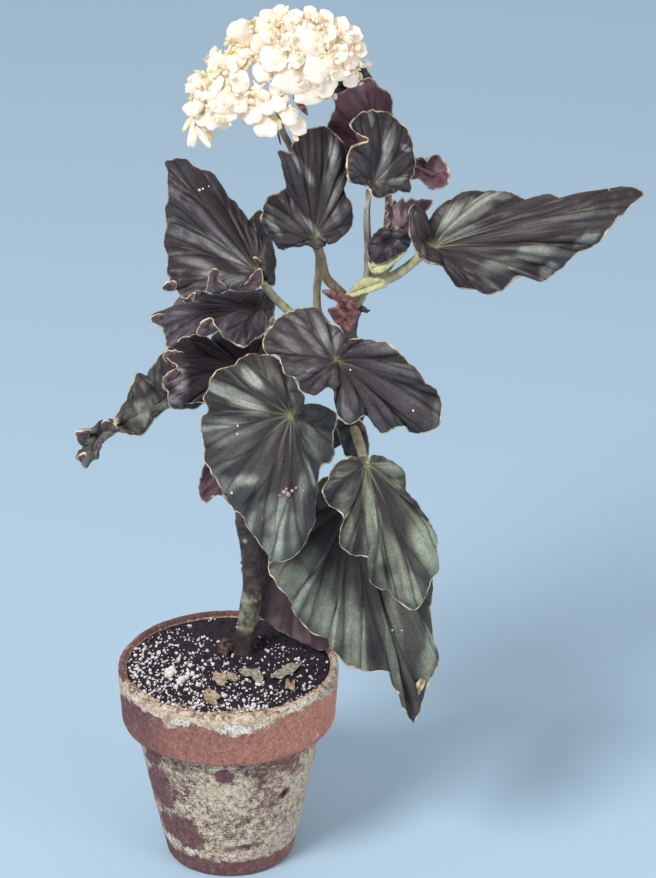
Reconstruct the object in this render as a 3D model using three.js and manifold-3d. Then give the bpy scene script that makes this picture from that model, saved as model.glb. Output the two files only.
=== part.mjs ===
// A potted begonia: a clay pot of potting mix, one leaning stem, dark ruffled leaves and a head of white flowers.
// Millimetres, +Z up. The origin is the centre of the pot's underside, on the surface that the pot stands on.
// The plant is seen from -Y, a little from above, and it leans towards +X.
import * as THREE from "three";
import { mergeVertices } from "three/addons/utils/BufferGeometryUtils.js";
import Module from "manifold-3d";

const wasm = await Module();
wasm.setup();

// ---- driving dimensions ----
const gap = 0.3; // between pieces that touch
const pot = {
  height: 106,
  baseRadius: 32.2,
  shoulderRadius: 47.5, // of the body, just under the rim band
  shoulderHeight: 76.5,
  rimLowerRadius: 53.4,
  rimTopRadius: 55,
  wall: 4.2,
  floor: 9,
  round: 1.5, // of the fired edges
  segments: 40,
};
const drain = { count: 3, radius: 5, ringRadius: 15, recess: 1 };
const soil = { edgeHeight: 104, crownHeight: 105 };
const blade = { thickness: 1.4, rings: [0.5, 1] };
const trunkRadius = { base: 5.2, top: 4.0 };

// ---- the sight line: a point of the plant is given by its pixel in the 656 x 878 picture and its depth y ----
const picture = { width: 656, height: 878, focal: 3730 };
const pixel = 0.4825; // mm in the upright plane through the pot's axis
const eye = new THREE.Vector3(49.6, -1619.4, 1014.5);
const pitch = THREE.MathUtils.degToRad(25.88); // of the sight line, below the horizon
const ahead = new THREE.Vector3(0, Math.cos(pitch), -Math.sin(pitch));
const above = new THREE.Vector3(0, Math.sin(pitch), Math.cos(pitch));

function sight(px, py, y) {
  const ray = ahead
    .clone()
    .multiplyScalar(picture.focal)
    .addScaledVector(above, picture.height / 2 - py);
  ray.x = px - picture.width / 2;
  return ray.multiplyScalar((y - eye.y) / ray.y).add(eye);
}

// ---- solids and meshes ----
function geometryOf(points, triangles) {
  const geometry = new THREE.BufferGeometry();
  geometry.setAttribute("position", new THREE.Float32BufferAttribute(points.flatMap((p) => [p.x, p.y, p.z]), 3));
  geometry.setIndex(triangles.flat());
  return geometry;
}

function solidOf(geometry) {
  const bare = geometry.clone();
  bare.deleteAttribute("normal");
  bare.deleteAttribute("uv");
  const merged = mergeVertices(bare, 1e-4);
  return new wasm.Manifold(
    new wasm.Mesh({
      numProp: 3,
      vertProperties: new Float32Array(merged.attributes.position.array),
      triVerts: new Uint32Array(merged.index.array),
    }),
  );
}

function geometryFrom(solid) {
  const mesh = solid.getMesh();
  const geometry = new THREE.BufferGeometry();
  const positions = new Float32Array(mesh.numVert * 3);
  for (let i = 0; i < mesh.numVert; i++)
    positions.set(mesh.vertProperties.subarray(i * mesh.numProp, i * mesh.numProp + 3), i * 3);
  geometry.setAttribute("position", new THREE.BufferAttribute(positions, 3));
  geometry.setIndex(new THREE.BufferAttribute(new Uint32Array(mesh.triVerts), 1));
  return geometry;
}

const union = (solids) => solids.reduce((whole, next) => whole.add(next));

// A solid of revolution about +Z from a profile of [radius, height] that starts and ends on the axis.
function turned(profile, segments) {
  const points = profile.map(([r, z]) => new THREE.Vector2(r, z));
  const geometry = new THREE.LatheGeometry(points, segments);
  return geometry.rotateX(Math.PI / 2);
}

// A round stalk along a smooth curve through points, with a radius at each end.
function stalk(points, startRadius, endRadius, sides = 6, steps = 3 * points.length) {
  const curve = new THREE.CatmullRomCurve3(points);
  const frames = curve.computeFrenetFrames(steps, false);
  const ring = [];
  for (let i = 0; i <= steps; i++) {
    const share = i / steps;
    const centre = curve.getPointAt(share);
    const radius = THREE.MathUtils.lerp(startRadius, endRadius, share);
    for (let j = 0; j < sides; j++) {
      const turn = (2 * Math.PI * j) / sides;
      ring.push(
        centre
          .clone()
          .addScaledVector(frames.normals[i], radius * Math.cos(turn))
          .addScaledVector(frames.binormals[i], radius * Math.sin(turn)),
      );
    }
  }
  const triangles = [];
  for (let i = 0; i < steps; i++)
    for (let j = 0; j < sides; j++) {
      const a = i * sides + j;
      const b = i * sides + ((j + 1) % sides);
      triangles.push([a, b, b + sides], [a, b + sides, a + sides]);
    }
  const last = steps * sides;
  for (let j = 1; j < sides - 1; j++) triangles.push([0, j + 1, j], [last, last + j, last + j + 1]);
  return solidOf(geometryOf(ring, triangles));
}

const materials = {
  clay: new THREE.MeshStandardMaterial({ color: 0xa9694f, roughness: 0.9 }),
  soil: new THREE.MeshStandardMaterial({ color: 0x2a2020, roughness: 1 }),
  trunk: new THREE.MeshStandardMaterial({ color: 0x4d4a3c, roughness: 0.7 }),
  stalk: new THREE.MeshStandardMaterial({ color: 0xa8a070, roughness: 0.55 }),
  leaf: new THREE.MeshStandardMaterial({ color: 0x39403a, roughness: 0.4 }),
  leafUnder: new THREE.MeshStandardMaterial({ color: 0x5a2c3a, roughness: 0.6 }),
  flower: new THREE.MeshStandardMaterial({ color: 0xf6efdc, roughness: 0.6 }),
  dry: new THREE.MeshStandardMaterial({ color: 0x9c8a5c, roughness: 0.85 }),
};

const plant = new THREE.Group();

function place(name, geometry, material) {
  const mesh = new THREE.Mesh(geometry, material);
  mesh.name = name;
  plant.add(mesh);
}

// ---- the stem ----
const stemPath = [
  [243, 690, 12],
  [244, 655, 12],
  [246, 636, 12],
  [250, 608, 11],
  [252, 585, 10],
  [252, 560, 9],
  [247, 530, 8],
  [246, 508, 6],
  [257, 484, 5],
  [278, 463, 3],
  [304, 450, 2],
  [327, 442, 1],
  [346, 430, 0],
  [357, 412, 0],
  [356, 385, 0],
  [350, 345, 0],
  [349, 318, 0],
  [353, 302, -1],
].map((p) => sight(...p));
const trunk = stalk(stemPath, trunkRadius.base, trunkRadius.top, 8, 26);
const trunkClear = stalk(stemPath, trunkRadius.base + gap, trunkRadius.top + gap, 8, 26);

const tipPath = [
  [354.5, 299, -1],
  [362, 289, -2],
  [371, 283, -3],
  [379, 279, -4],
].map((p) => sight(...p));
const tip = stalk(tipPath, 4.4, 3.2, 8, 5);
const tipClear = stalk(tipPath, 4.4 + gap, 3.2 + gap, 8, 5);

// ---- the pot: a tapered body, a rim band that overhangs it, a floor with drain holes ----
const innerTop = pot.rimTopRadius - pot.wall;
const innerShoulder = pot.shoulderRadius - pot.wall + 0.8;
const innerFloor = 29;
const potProfile = [
  [0, 0],
  [pot.baseRadius - pot.round, 0],
  [pot.baseRadius, pot.round],
  [pot.shoulderRadius, pot.shoulderHeight],
  [pot.rimLowerRadius - pot.round, pot.shoulderHeight],
  [pot.rimLowerRadius, pot.shoulderHeight + pot.round],
  [pot.rimTopRadius - 0.2, pot.height - 2 * pot.round],
  [pot.rimTopRadius - pot.round, pot.height - 0.3],
  [pot.rimTopRadius - pot.wall / 2, pot.height],
  [innerTop + pot.round / 2, pot.height - 0.5],
  [innerTop - 0.2, pot.height - 2 * pot.round],
  [innerShoulder, pot.shoulderHeight],
  [innerFloor, pot.floor],
  [0, pot.floor],
];

function drainPlugs(radius, bottom, top) {
  const plugs = [];
  for (let i = 0; i < drain.count; i++) {
    const turn = (2 * Math.PI * i) / drain.count + Math.PI / 2;
    const plug = new THREE.CylinderGeometry(radius, radius, top - bottom, 12).rotateX(Math.PI / 2);
    plug.translate(drain.ringRadius * Math.cos(turn), drain.ringRadius * Math.sin(turn), (bottom + top) / 2);
    plugs.push(solidOf(plug));
  }
  return union(plugs);
}

const potBody = solidOf(turned(potProfile, pot.segments)).subtract(drainPlugs(drain.radius, -1, pot.floor + 1));
place("clay_pot", geometryFrom(potBody), materials.clay);

// ---- the potting mix fills the pot to just under the rim, and the stem's foot stands in it ----
function innerRadiusAt(z) {
  const share = (z - pot.floor) / (pot.shoulderHeight - pot.floor);
  if (share <= 1) return THREE.MathUtils.lerp(innerFloor, innerShoulder, share);
  const upper = Math.min(1, (z - pot.shoulderHeight) / (pot.height - 2 * pot.round - pot.shoulderHeight));
  return THREE.MathUtils.lerp(innerShoulder, innerTop - 0.2, upper);
}
const soilProfile = [
  [0, pot.floor + gap],
  [innerFloor - gap, pot.floor + gap],
  [innerRadiusAt(pot.shoulderHeight) - gap, pot.shoulderHeight],
  [innerRadiusAt(soil.edgeHeight) - gap, soil.edgeHeight],
  [0.5 * innerTop, soil.crownHeight],
  [0, soil.crownHeight],
];
const soilBody = solidOf(turned(soilProfile, 32))
  .add(drainPlugs(drain.radius - gap, drain.recess, pot.floor + 2))
  .subtract(trunkClear);
place("potting_mix", geometryFrom(soilBody), materials.soil);
place("main_stem", geometryFrom(trunk), materials.trunk);
place("stem_tip", geometryFrom(tip.subtract(trunkClear)), materials.stalk);

// ---- leaves ----
// heart: where the stalk meets the blade, [pixel x, pixel y, depth y in mm].
// margin: the ruffled edge in order round the leaf, [pixel x, pixel y, mm towards the viewer from the heart].
// lean: how far the blade comes towards the viewer for each mm to the right and each mm down from the heart.
// dome: how far the blade bellies towards its upper side, in mm. turned: the red underside is seen.
// stalk: from the stem to the heart, [pixel x, pixel y, depth y]; radii at the stem and at the heart.
const leaves = [
  {
    name: "right_long",
    heart: [433, 248, -12],
    margin: [
      [428, 227, -2], [436, 212, -6], [450, 200, -9], [466, 193, -11], [486, 191, -12],
      [510, 194, -10], [530, 201, -6], [546, 195, -10], [562, 200, -5], [577, 199, -5],
      [595, 194, -10], [608, 191, -4], [621, 188, -8], [634, 189, -3], [644, 194, 0], [628, 208, 3],
      [614, 224, 5], [602, 240, 8], [590, 248, 4], [574, 256, 9], [558, 270, 4], [545, 281, 11],
      [530, 277, 5], [514, 280, 11], [501, 291, 7], [487, 295, 13], [478, 290, 6], [460, 288, 9],
      [450, 276, 4], [442, 266, 7], [428, 263, 11], [417, 253, 12], [410, 235, 12], [409, 212, 9],
      [414, 205, 6], [420, 212, 4], [429, 236, 1],
    ],
    lean: [0.1, 0.3],
    dome: 5,
    stalk: [[379, 279, -4], [392, 277, -5], [406, 268, -6], [418, 258, -7], [427, 252, -8]],
    radii: [2.6, 2.0],
  },
  {
    name: "upper_centre",
    heart: [314, 239, -24],
    margin: [
      [327, 243, 2], [343, 235, 0], [352, 223, -4], [351, 203, -1], [344, 190, -9], [347, 172, -9],
      [346, 153, -13], [338, 138, -7], [327, 127, -12], [309, 129, -7], [298, 136, -3], [290, 149, 3],
      [281, 151, 5], [282, 160, 2], [286, 170, 0], [289, 180, -3], [285, 191, -5], [270, 196, 0],
      [265, 204, 4], [264, 211, 2], [260, 216, 6], [262, 225, 6], [275, 243, 4], [279, 250, 2],
      [288, 248, 5], [298, 246, 6], [307, 245, 4], [314, 247, 2], [321, 245, 2],
    ],
    lean: [0, 0.2],
    dome: 3,
    stalk: [[350, 302, -2], [343, 295, -4], [335, 287, -6], [326, 277, -8], [322, 262, -11], [319, 251, -15]],
    radii: [2.3, 2.3],
  },
  {
    name: "upper_left",
    heart: [258, 272, -8],
    margin: [
      [266, 281, 1], [277, 286, -1], [274, 266, -4], [273, 250, -7], [266, 230, -13],
      [259, 209, -14], [252, 216, -9], [246, 221, -14], [240, 212, -15], [231, 199, -17],
      [221, 192, -21], [215, 186, -19], [209, 175, -25], [203, 169, -21], [190, 161, -25],
      [177, 160, -22], [165, 163, -18], [168, 182, -17], [167, 195, -13], [163, 214, -14],
      [166, 230, -9], [164, 243, -8], [168, 260, -3], [169, 278, 3], [165, 289, 8], [174, 288, 3],
      [178, 292, 6], [190, 302, 9], [200, 299, 9], [210, 295, 12], [219, 293, 8], [230, 290, 12],
      [238, 288, 9], [246, 283, 8], [253, 280, 4],
    ],
    lean: [0, 0.2],
    dome: 4,
    stalk: [[347, 348, -2], [330, 343, -2], [310, 330, -2], [291, 313, -3], [275, 298, 0], [265, 285, 1]],
    radii: [2.3, 1.9],
  },
  {
    name: "middle_left",
    heart: [260, 312, -2],
    margin: [
      [271, 294, -14], [255, 291, -17], [240, 292, -19], [224, 295, -19], [208, 300, -18], [192, 297, -15],
      [180, 299, -13], [173, 306, -10], [167, 313, -7], [159, 314, -6], [151, 318, -4], [156, 326, 1],
      [162, 328, 5], [166, 339, 9], [170, 344, 12], [181, 344, 13], [192, 341, 15], [204, 337, 14],
      [216, 333, 14], [223, 337, 17], [232, 343, 15], [244, 348, 18], [254, 341, 15], [264, 335, 12],
      [270, 324, 6], [273, 312, -2],
    ],
    lean: [0, 0.3],
    dome: 4,
    stalk: [[351, 362, 2], [330, 356, 6], [300, 341, 8], [280, 328, 6]],
    radii: [2.2, 1.8],
  },
  {
    name: "inner_left",
    heart: [246, 374, 5],
    margin: [
      [264, 337, -8], [245, 333, -12], [225, 332, -14], [212, 338, -13], [196, 341, -13], [185, 341, -9],
      [178, 343, -7], [171, 348, -4], [164, 355, 0], [169, 361, 4], [175, 368, 8], [167, 374, 9],
      [164, 384, 12], [167, 393, 11], [169, 405, 14], [187, 404, 11], [202, 404, 12], [215, 406, 10],
      [235, 410, 8], [255, 405, 4], [266, 390, 0], [267, 370, -4],
    ],
    lean: [0, 0.3],
    dome: 5,
    stalk: [[356, 378, 2], [330, 373, 8], [295, 370, 13], [262, 373, 11]],
    radii: [2.3, 1.8],
  },
  {
    name: "left_long",
    heart: [196, 385, 16],
    margin: [
      [200, 364, -6], [180, 354, -6], [166, 354, -2], [157, 362, 0], [147, 373, -2], [137, 373, -5],
      [131, 382, 0], [126, 396, 0], [118, 414, 2], [108, 420, 4], [101, 424, 0], [88, 430, 4],
      [75, 436, 0], [79, 443, 4], [85, 450, 0], [77, 456, 4], [80, 461, 0], [87, 463, 5],
      [97, 456, 1], [105, 451, 4], [118, 442, 2], [127, 436, 6], [140, 435, 7], [148, 430, 4],
      [157, 422, 6], [168, 412, 6], [185, 409, 6], [200, 406, 4], [208, 388, 0],
    ],
    lean: [-0.1, 0.3],
    dome: 4,
    stalk: [[300, 451, 4], [280, 437, 14], [255, 413, 22], [225, 395, 24]],
    radii: [2.4, 1.8],
  },
  {
    name: "front_large",
    heart: [291.6, 415, -48],
    margin: [
      [297, 409, -1], [304, 409, 2], [314, 406, -2], [328, 409, -6], [336, 417, -10], [334, 433, -9],
      [327, 455, -8], [318, 472, -6], [318, 486, -3], [314, 505, -5], [312, 526, -1], [305, 541, -3],
      [295, 555, 1], [287, 561, -1], [268, 562, -3], [268, 553, 0], [252, 533, -2], [243, 517, -5],
      [235, 509, -3], [224, 495, -8], [214, 476, -7], [206, 462, -12], [204, 445, -10], [201, 433, -14],
      [203, 417, -12], [209, 409, -8], [203, 399, -12], [208, 390, -14], [211, 380, -10], [219, 369, -12],
      [233, 366, -8], [241, 359, -12], [250, 354, -8], [259, 355, -10], [272, 364, -6], [284, 378, -4],
      [291, 394, -2],
    ],
    lean: [0, 0.35],
    dome: 6,
    stalk: [[306, 448, 0], [306, 440, -14], [303, 430, -28], [297, 421, -40]],
    radii: [2.8, 2.2],
  },
  {
    name: "centre_right",
    heart: [337, 360, -60],
    margin: [
      [343, 347, -2], [352, 340, 2], [366, 339, -2], [380, 343, -4], [393, 347, -2], [405, 359, -6],
      [419, 373, -4], [429, 386, -8], [437, 392, -6], [441, 402, -10], [439, 424, -8],
      [429, 431, -4], [412, 433, -8], [402, 426, -4], [393, 428, -8], [385, 433, -2], [376, 426, -6],
      [369, 417, -4], [362, 416, 2], [355, 421, 4], [348, 423, 6], [338, 414, 1], [334, 400, 4],
      [333, 389, 6], [323, 388, 2], [311, 395, 6], [300, 391, 2], [297, 382, 6], [291, 376, 2],
      [284, 371, 5], [281, 363, 1], [279, 357, 3], [268, 355, -1], [264, 350, -1], [264, 340, -4],
      [271, 328, -4], [279, 318, -8], [290, 312, -8], [300, 308, -12], [314, 309, -10],
      [321, 318, -12], [331, 324, -8], [340, 330, -8], [342, 338, -4],
    ],
    lean: [0.05, 0.3],
    dome: 4,
    stalk: [[354, 384, -3], [352, 378, -15], [347, 369, -38], [341, 363, -53]],
    radii: [2.6, 2.1],
  },
  {
    name: "lower_right",
    heart: [365.5, 464, -54],
    margin: [
      [370, 461, -2], [377, 457, -6], [387, 459, -6], [397, 466, -8], [404, 474, -8], [406, 490, -5],
      [407, 499, -10], [412, 505, -6], [421, 514, -10], [428, 521, -7], [434, 530, -12],
      [437, 545, -8], [437, 556, -12], [436, 572, -8], [429, 585, -10], [423, 602, -6],
      [413, 610, -4], [400, 603, 0], [389, 591, -2], [381, 589, 2], [372, 583, 2], [371, 573, -1],
      [370, 562, 2], [367, 556, 4], [353, 555, 2], [343, 548, 4], [340, 534, 0], [343, 517, 4],
      [338, 511, 4], [328, 503, 2], [322, 491, 6], [328, 481, 2], [335, 467, 2], [347, 458, -4],
      [358, 459, -2],
    ],
    lean: [0, 0.35],
    dome: 4,
    stalk: [[352, 422, -3], [357, 436, -13], [361, 449, -28], [364, 459, -43]],
    radii: [2.6, 2.1],
  },
  {
    name: "lowest",
    heart: [350, 498, -24],
    margin: [
      [362, 490, -4], [395, 503, -7], [420, 530, -8], [431, 580, -7], [430, 612, -4], [433, 635, 0],
      [438, 656, -2], [433, 673, 4], [423, 696, 2], [419, 712, 6], [413, 723, 4], [405, 711, 8],
      [402, 702, 5], [399, 692, 8], [393, 683, 4], [389, 672, 8], [370, 672, 4], [354, 668, 8],
      [343, 662, 6], [333, 652, 10], [328, 639, 6], [314, 635, 10], [303, 624, 8], [293, 610, 12],
      [293, 602, 8], [282, 591, 12], [270, 574, 8], [268, 562, 10], [275, 540, 4], [295, 515, 1],
      [320, 495, -3], [338, 486, -5],
    ],
    lean: [0, 0.3],
    dome: 5,
    stalk: [[349, 428, 0], [352, 444, 0], [353, 460, -3], [352, 475, -9], [350, 490, -16]],
    radii: [2.5, 2.1],
  },
  {
    name: "behind_left",
    heart: [252, 452, 34],
    turned: true,
    margin: [
      [222, 496, 6], [212, 497, 10], [205, 503, 6], [199, 497, 4], [199, 481, 0], [207, 461, 4],
      [210, 440, -2], [222, 425, -6], [245, 415, -8], [270, 420, -6], [285, 440, -2], [288, 465, 0],
      [275, 490, 4], [255, 505, 8], [238, 508, 8],
    ],
    lean: [0, -0.3],
    dome: 4,
    stalk: [[266, 474, 6], [263, 467, 15], [257, 459, 27]],
    radii: [2.3, 1.8],
  },
  {
    name: "behind_stem",
    heart: [292, 532, 19],
    turned: true,
    margin: [
      [292, 506, -4], [274, 510, -5], [258, 526, -5], [249, 545, -5], [247, 568, -5], [250, 590, -5],
      [257, 611, -4], [266, 622, 0], [283, 633, 3], [300, 642, 5], [318, 650, 6], [330, 648, 5],
      [338, 632, 4], [336, 600, 2], [330, 560, 0], [320, 525, -2], [306, 511, -3],
    ],
    lean: [0, 0.12],
    dome: 3,
    stalk: [[252, 505, 8], [266, 508, 15], [280, 521, 15]],
    radii: [2.2, 1.8],
  },
  {
    name: "top_right",
    heart: [373, 184, -14],
    margin: [
      [362, 183, 2], [349, 180, 4], [346, 167, 6], [347, 157, 6], [351, 147, 4], [358, 146, 8],
      [350, 125, 5], [353, 119, 0], [361, 114, -4], [371, 110, -6], [387, 113, -10], [398, 123, -13],
      [407, 130, -11], [411, 140, -14], [414, 157, -12], [414, 172, -14], [409, 180, -9],
      [409, 193, -4], [400, 191, 0], [388, 195, 1], [375, 197, 4], [369, 191, 3],
    ],
    lean: [0, 0.3],
    dome: 3,
    stalk: [[366, 282, -3], [367, 250, -1], [366, 225, -1], [367, 203, -4], [370, 192, -8]],
    radii: [1.6, 1.4],
  },
  {
    name: "top_folded",
    heart: [385, 150, 12],
    turned: true,
    margin: [
      [346, 157, 6], [340, 141, 10], [331, 135, 8], [327, 129, 6], [329, 121, 8], [335, 109, 4],
      [334, 99, 6], [336, 95, 4], [344, 91, 0], [355, 85, -2], [363, 80, -4], [371, 79, -4],
      [380, 89, -6], [390, 95, -4], [392, 107, -2], [396, 120, 0], [406, 140, 0], [414, 151, -1], [428, 156, 1], [441, 161, 2], [449, 171, 2], [448, 181, 6],
      [440, 187, 2], [430, 187, 6], [422, 181, 2], [412, 179, 4], [390, 185, 5], [368, 178, 6],
      [355, 167, 8],
    ],
    lean: [0, 0.1],
    dome: 4,
    stalk: [[369, 279, -1], [368, 245, 8], [367.5, 205, 10], [374, 172, 9]],
    radii: [1.6, 1.4],
  },
  {
    name: "behind_flowers",
    heart: [354, 90, 28],
    margin: [
      [334, 99, 4], [331, 88, 0], [332, 78, 2], [345, 70, -4], [361, 62, -2], [372, 78, -4],
      [379, 88, -2], [376, 99, 2], [360, 104, 4], [345, 104, 4],
    ],
    dome: 3,
    stalk: [[375, 276, -1], [385, 240, 15], [388, 190, 26], [376, 135, 33], [362, 102, 33]],
    radii: [1.9, 1.4],
  },
  {
    name: "small_inner",
    heart: [356, 424, -6],
    margin: [
      [362, 421, 0], [368, 436, 2], [369, 449, 1], [366, 459, 2], [355, 457, 3], [345, 455, 1],
      [340, 438, 2], [336, 420, 0], [345, 420, 2], [352, 417, 1],
    ],
    dome: 2,
  },
  {
    name: "young_front",
    heart: [388, 240, -7],
    margin: [
      [382, 229, -2], [392, 230, 0], [403, 230, 0], [409, 235, 2], [409, 247, 4], [397, 256, 6],
      [383, 263, 7], [374, 262, 7], [368, 253, 5], [370, 240, 2],
    ],
    dome: 4,
    stalk: [[376, 273, -4], [381, 268, -4], [386, 258, -3], [388, 248, -3]],
    radii: [1.8, 1.4],
  },
  {
    name: "young_back",
    heart: [397, 226, 4],
    turned: true,
    margin: [
      [386, 222, 1], [385, 209, -3], [388, 199, -3], [398, 199, -7], [404, 202, -4], [410, 199, -7],
      [416, 198, -5], [426, 197, -9], [434, 202, -5], [426, 212, -4], [416, 219, -2], [409, 229, 0],
      [403, 233, 1], [389, 232, 2],
    ],
    dome: 3,
    stalk: [[383, 275, -4], [392, 263, 2], [398, 246, 3]],
    radii: [1.6, 1.2],
  },
];

// A blade is a fan of spokes from the heart to the margin, bellied between them, with an even thickness.
// With a clearance it is that much thicker and wider, to cut its neighbours clear of it.
function bladeOf(leaf, clearance = 0) {
  const [hx, hy, depth] = leaf.heart;
  const heart = sight(hx, hy, depth);
  const [leanRight, leanDown] = leaf.lean ?? [0, 0];
  const margin = leaf.margin.map(([px, py, out]) =>
    sight(px, py, depth - out - leanRight * pixel * (px - hx) - leanDown * pixel * (py - hy)),
  );
  const count = margin.length;
  const turning = leaf.margin.reduce((sum, [px, py], i) => {
    const [nextX, nextY] = leaf.margin[(i + 1) % count];
    return sum + px * nextY - nextX * py;
  }, 0);
  if (turning > 0 !== Boolean(leaf.turned)) margin.reverse();
  const facing = new THREE.Vector3();
  margin.forEach((p, i) => {
    const next = margin[(i + 1) % count];
    facing.add(p.clone().sub(heart).cross(next.clone().sub(heart)));
  });
  facing.normalize();
  const rows = blade.rings.map((share) =>
    margin.map((p) => {
      const reach = share === 1 ? 1 + clearance / p.distanceTo(heart) : share;
      const belly = leaf.dome * 4 * share * (1 - share);
      return heart.clone().lerp(p, reach).addScaledVector(facing, belly);
    }),
  );
  const middle = [heart, ...rows.flat()];
  const at = (ring, spoke) => 1 + ring * count + ((spoke + count) % count);
  const faces = [];
  for (let j = 0; j < count; j++) {
    faces.push([0, at(0, j), at(0, j + 1)]);
    for (let i = 0; i + 1 < rows.length; i++)
      faces.push([at(i, j), at(i + 1, j), at(i + 1, j + 1)], [at(i, j), at(i + 1, j + 1), at(i, j + 1)]);
  }
  const normals = middle.map(() => new THREE.Vector3());
  for (const face of faces) {
    const [a, b, c] = face.map((k) => middle[k]);
    const normal = b.clone().sub(a).cross(c.clone().sub(a));
    face.forEach((k) => normals[k].add(normal));
  }
  // A normal that a fold has turned away is drawn back towards the blade's own facing.
  normals.forEach((n) => n.normalize().addScaledVector(facing, 0.35).normalize());
  const half = blade.thickness / 2 + clearance;
  const upper = middle.map((p, k) => p.clone().addScaledVector(normals[k], half));
  const lower = middle.map((p, k) => p.clone().addScaledVector(normals[k], -half));
  const under = middle.length;
  const triangles = [...faces, ...faces.map(([a, b, c]) => [a + under, c + under, b + under])];
  const edge = rows.length - 1;
  for (let j = 0; j < count; j++) {
    const a = at(edge, j);
    const b = at(edge, j + 1);
    triangles.push([a, a + under, b + under], [a, b + under, b]);
  }
  return { solid: solidOf(geometryOf([...upper, ...lower], triangles)), seat: lower[0] };
}

// What is left of a solid when its neighbours are cut from it: the largest piece.
function cutClear(solid, neighbours) {
  const pieces = neighbours.reduce((rest, other) => rest.subtract(other), solid).decompose();
  return pieces.sort((a, b) => b.volume() - a.volume())[0];
}

const stemClear = [trunkClear, tipClear];
const stalksClear = [];
for (const leaf of leaves) {
  const material = leaf.turned ? materials.leafUnder : materials.leaf;
  if (!leaf.stalk) {
    place("leaf_" + leaf.name, geometryFrom(cutClear(bladeOf(leaf).solid, [...stemClear, ...stalksClear])), material);
    continue;
  }
  place("leaf_" + leaf.name, geometryFrom(bladeOf(leaf).solid), material);
  const grown = bladeOf(leaf, 1.5 * gap);
  const path = [...leaf.stalk.map((p) => sight(...p)), grown.seat];
  const [start, end] = leaf.radii;
  const steps = 2 * path.length;
  const body = cutClear(stalk(path, start, end, 6, steps), [...stemClear, ...stalksClear, grown.solid]);
  stalksClear.push(stalk(path, start + gap, end + gap, 6, steps));
  place("stalk_" + leaf.name, geometryFrom(body), materials.stalk);
}

// ---- the flower head: sprays of cupped petals round the ends of the flower stalk's branches ----
// petals: [pixel x, pixel y, half length and half width in pixels, the tip's turn in degrees from straight down].
const domes = {
  right: { at: [310, 56], depth: -8, radius: 27 },
  left: { at: [222, 98], depth: -6, radius: 20 },
  low: { at: [278, 108], depth: -10, radius: 17 },
};
const sprays = [
  { name: "front", dome: "right", petals: [[307, 37, 17, 10, 25], [319, 65, 14, 13, 30], [337, 53, 10, 7, 80], [296, 58, 8, 6, -20]] },
  { name: "crown", dome: "right", petals: [[309, 14, 9, 6, 170], [324, 19, 9, 7, 160], [339, 27, 9, 7, 140], [326, 34, 9, 7, 120], [344, 40, 6, 5, 120]] },
  { name: "right_edge", dome: "right", petals: [[355, 36, 11, 7, 130], [362, 49, 10, 7, 80], [350, 60, 9, 7, 40], [338, 70, 11, 7, 20], [352, 77, 10, 8, 0]] },
  { name: "peak", dome: "right", petals: [[281, 12, 9, 6, 185], [289, 21, 10, 8, 150], [270, 19, 11, 8, -140], [296, 16, 7, 5, 170]] },
  { name: "middle", dome: "right", petals: [[275, 56, 14, 12, -60], [272, 34, 12, 8, -120], [261, 44, 9, 7, -100], [264, 70, 11, 9, -40], [290, 42, 8, 6, 200]] },
  { name: "left_crown", dome: "right", petals: [[242, 34, 13, 10, -120], [257, 27, 8, 6, 190], [236, 56, 12, 10, -60], [247, 50, 8, 7, -90]] },
  { name: "lower_front", dome: "right", petals: [[291, 79, 15, 14, 0], [310, 92, 13, 12, 10], [325, 86, 10, 10, 40], [279, 91, 9, 8, -30]] },
  { name: "hanging", dome: "low", petals: [[290, 115, 11, 9, 10], [299, 128, 9, 8, 10], [277, 104, 8, 8, -20]] },
  { name: "low", dome: "low", petals: [[266, 127, 12, 11, -20], [265, 107, 8, 7, -10], [264, 98, 6, 5, 180]] },
  { name: "inner_left", dome: "low", petals: [[251, 110, 12, 11, -30], [257, 94, 8, 5, 190], [247, 97, 7, 6, -120]] },
  { name: "left_upper", dome: "left", petals: [[216, 57, 8, 5, 185], [218, 66, 10, 8, 180], [228, 67, 8, 8, 170], [236, 82, 11, 10, 120]] },
  { name: "left_outer", dome: "left", petals: [[212, 82, 15, 9, -40], [197, 78, 9, 6, -120], [191, 85, 9, 6, -80], [202, 93, 8, 5, -60]] },
  { name: "left_front", dome: "left", petals: [[222, 100, 13, 12, 0], [226, 113, 9, 9, 20], [213, 118, 11, 8, -20], [238, 102, 10, 8, 50]] },
  { name: "left_hanging", dome: "left", petals: [[187, 104, 10, 7, -60], [196, 102, 10, 5, -20], [192, 133, 15, 4, -8], [201, 137, 13, 4, 28], [201, 120, 6, 5, 0]] },
];

// A cupped petal: an apex sunk behind a ring of points that narrows towards its base.
function petalOf(base, tip, facing, halfWidth, clearance = 0) {
  const length = base.distanceTo(tip);
  const along = tip.clone().sub(base).normalize();
  const across = along.clone().cross(facing).normalize();
  const middle = base.clone().lerp(tip, 0.55);
  const sides = 7;
  const rim = [];
  for (let i = 0; i < sides; i++) {
    const turn = (2 * Math.PI * i) / sides;
    const width = (halfWidth + clearance) * Math.sin(turn) * (1 + 0.15 * Math.cos(turn));
    const reach = (0.5 * length + clearance) * Math.cos(turn);
    rim.push(middle.clone().addScaledVector(along, reach).addScaledVector(across, width));
  }
  const sag = 0.22 * length;
  const half = 0.9 + clearance;
  const front = middle.clone().addScaledVector(facing, half - sag);
  const back = middle.clone().addScaledVector(facing, -half - sag);
  const triangles = [];
  for (let i = 0; i < sides; i++) {
    const next = (i + 1) % sides;
    triangles.push([sides, next, i], [sides + 1, i, next]);
  }
  return solidOf(geometryOf([...rim, front, back], triangles));
}

const viewer = ahead.clone().negate();

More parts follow.
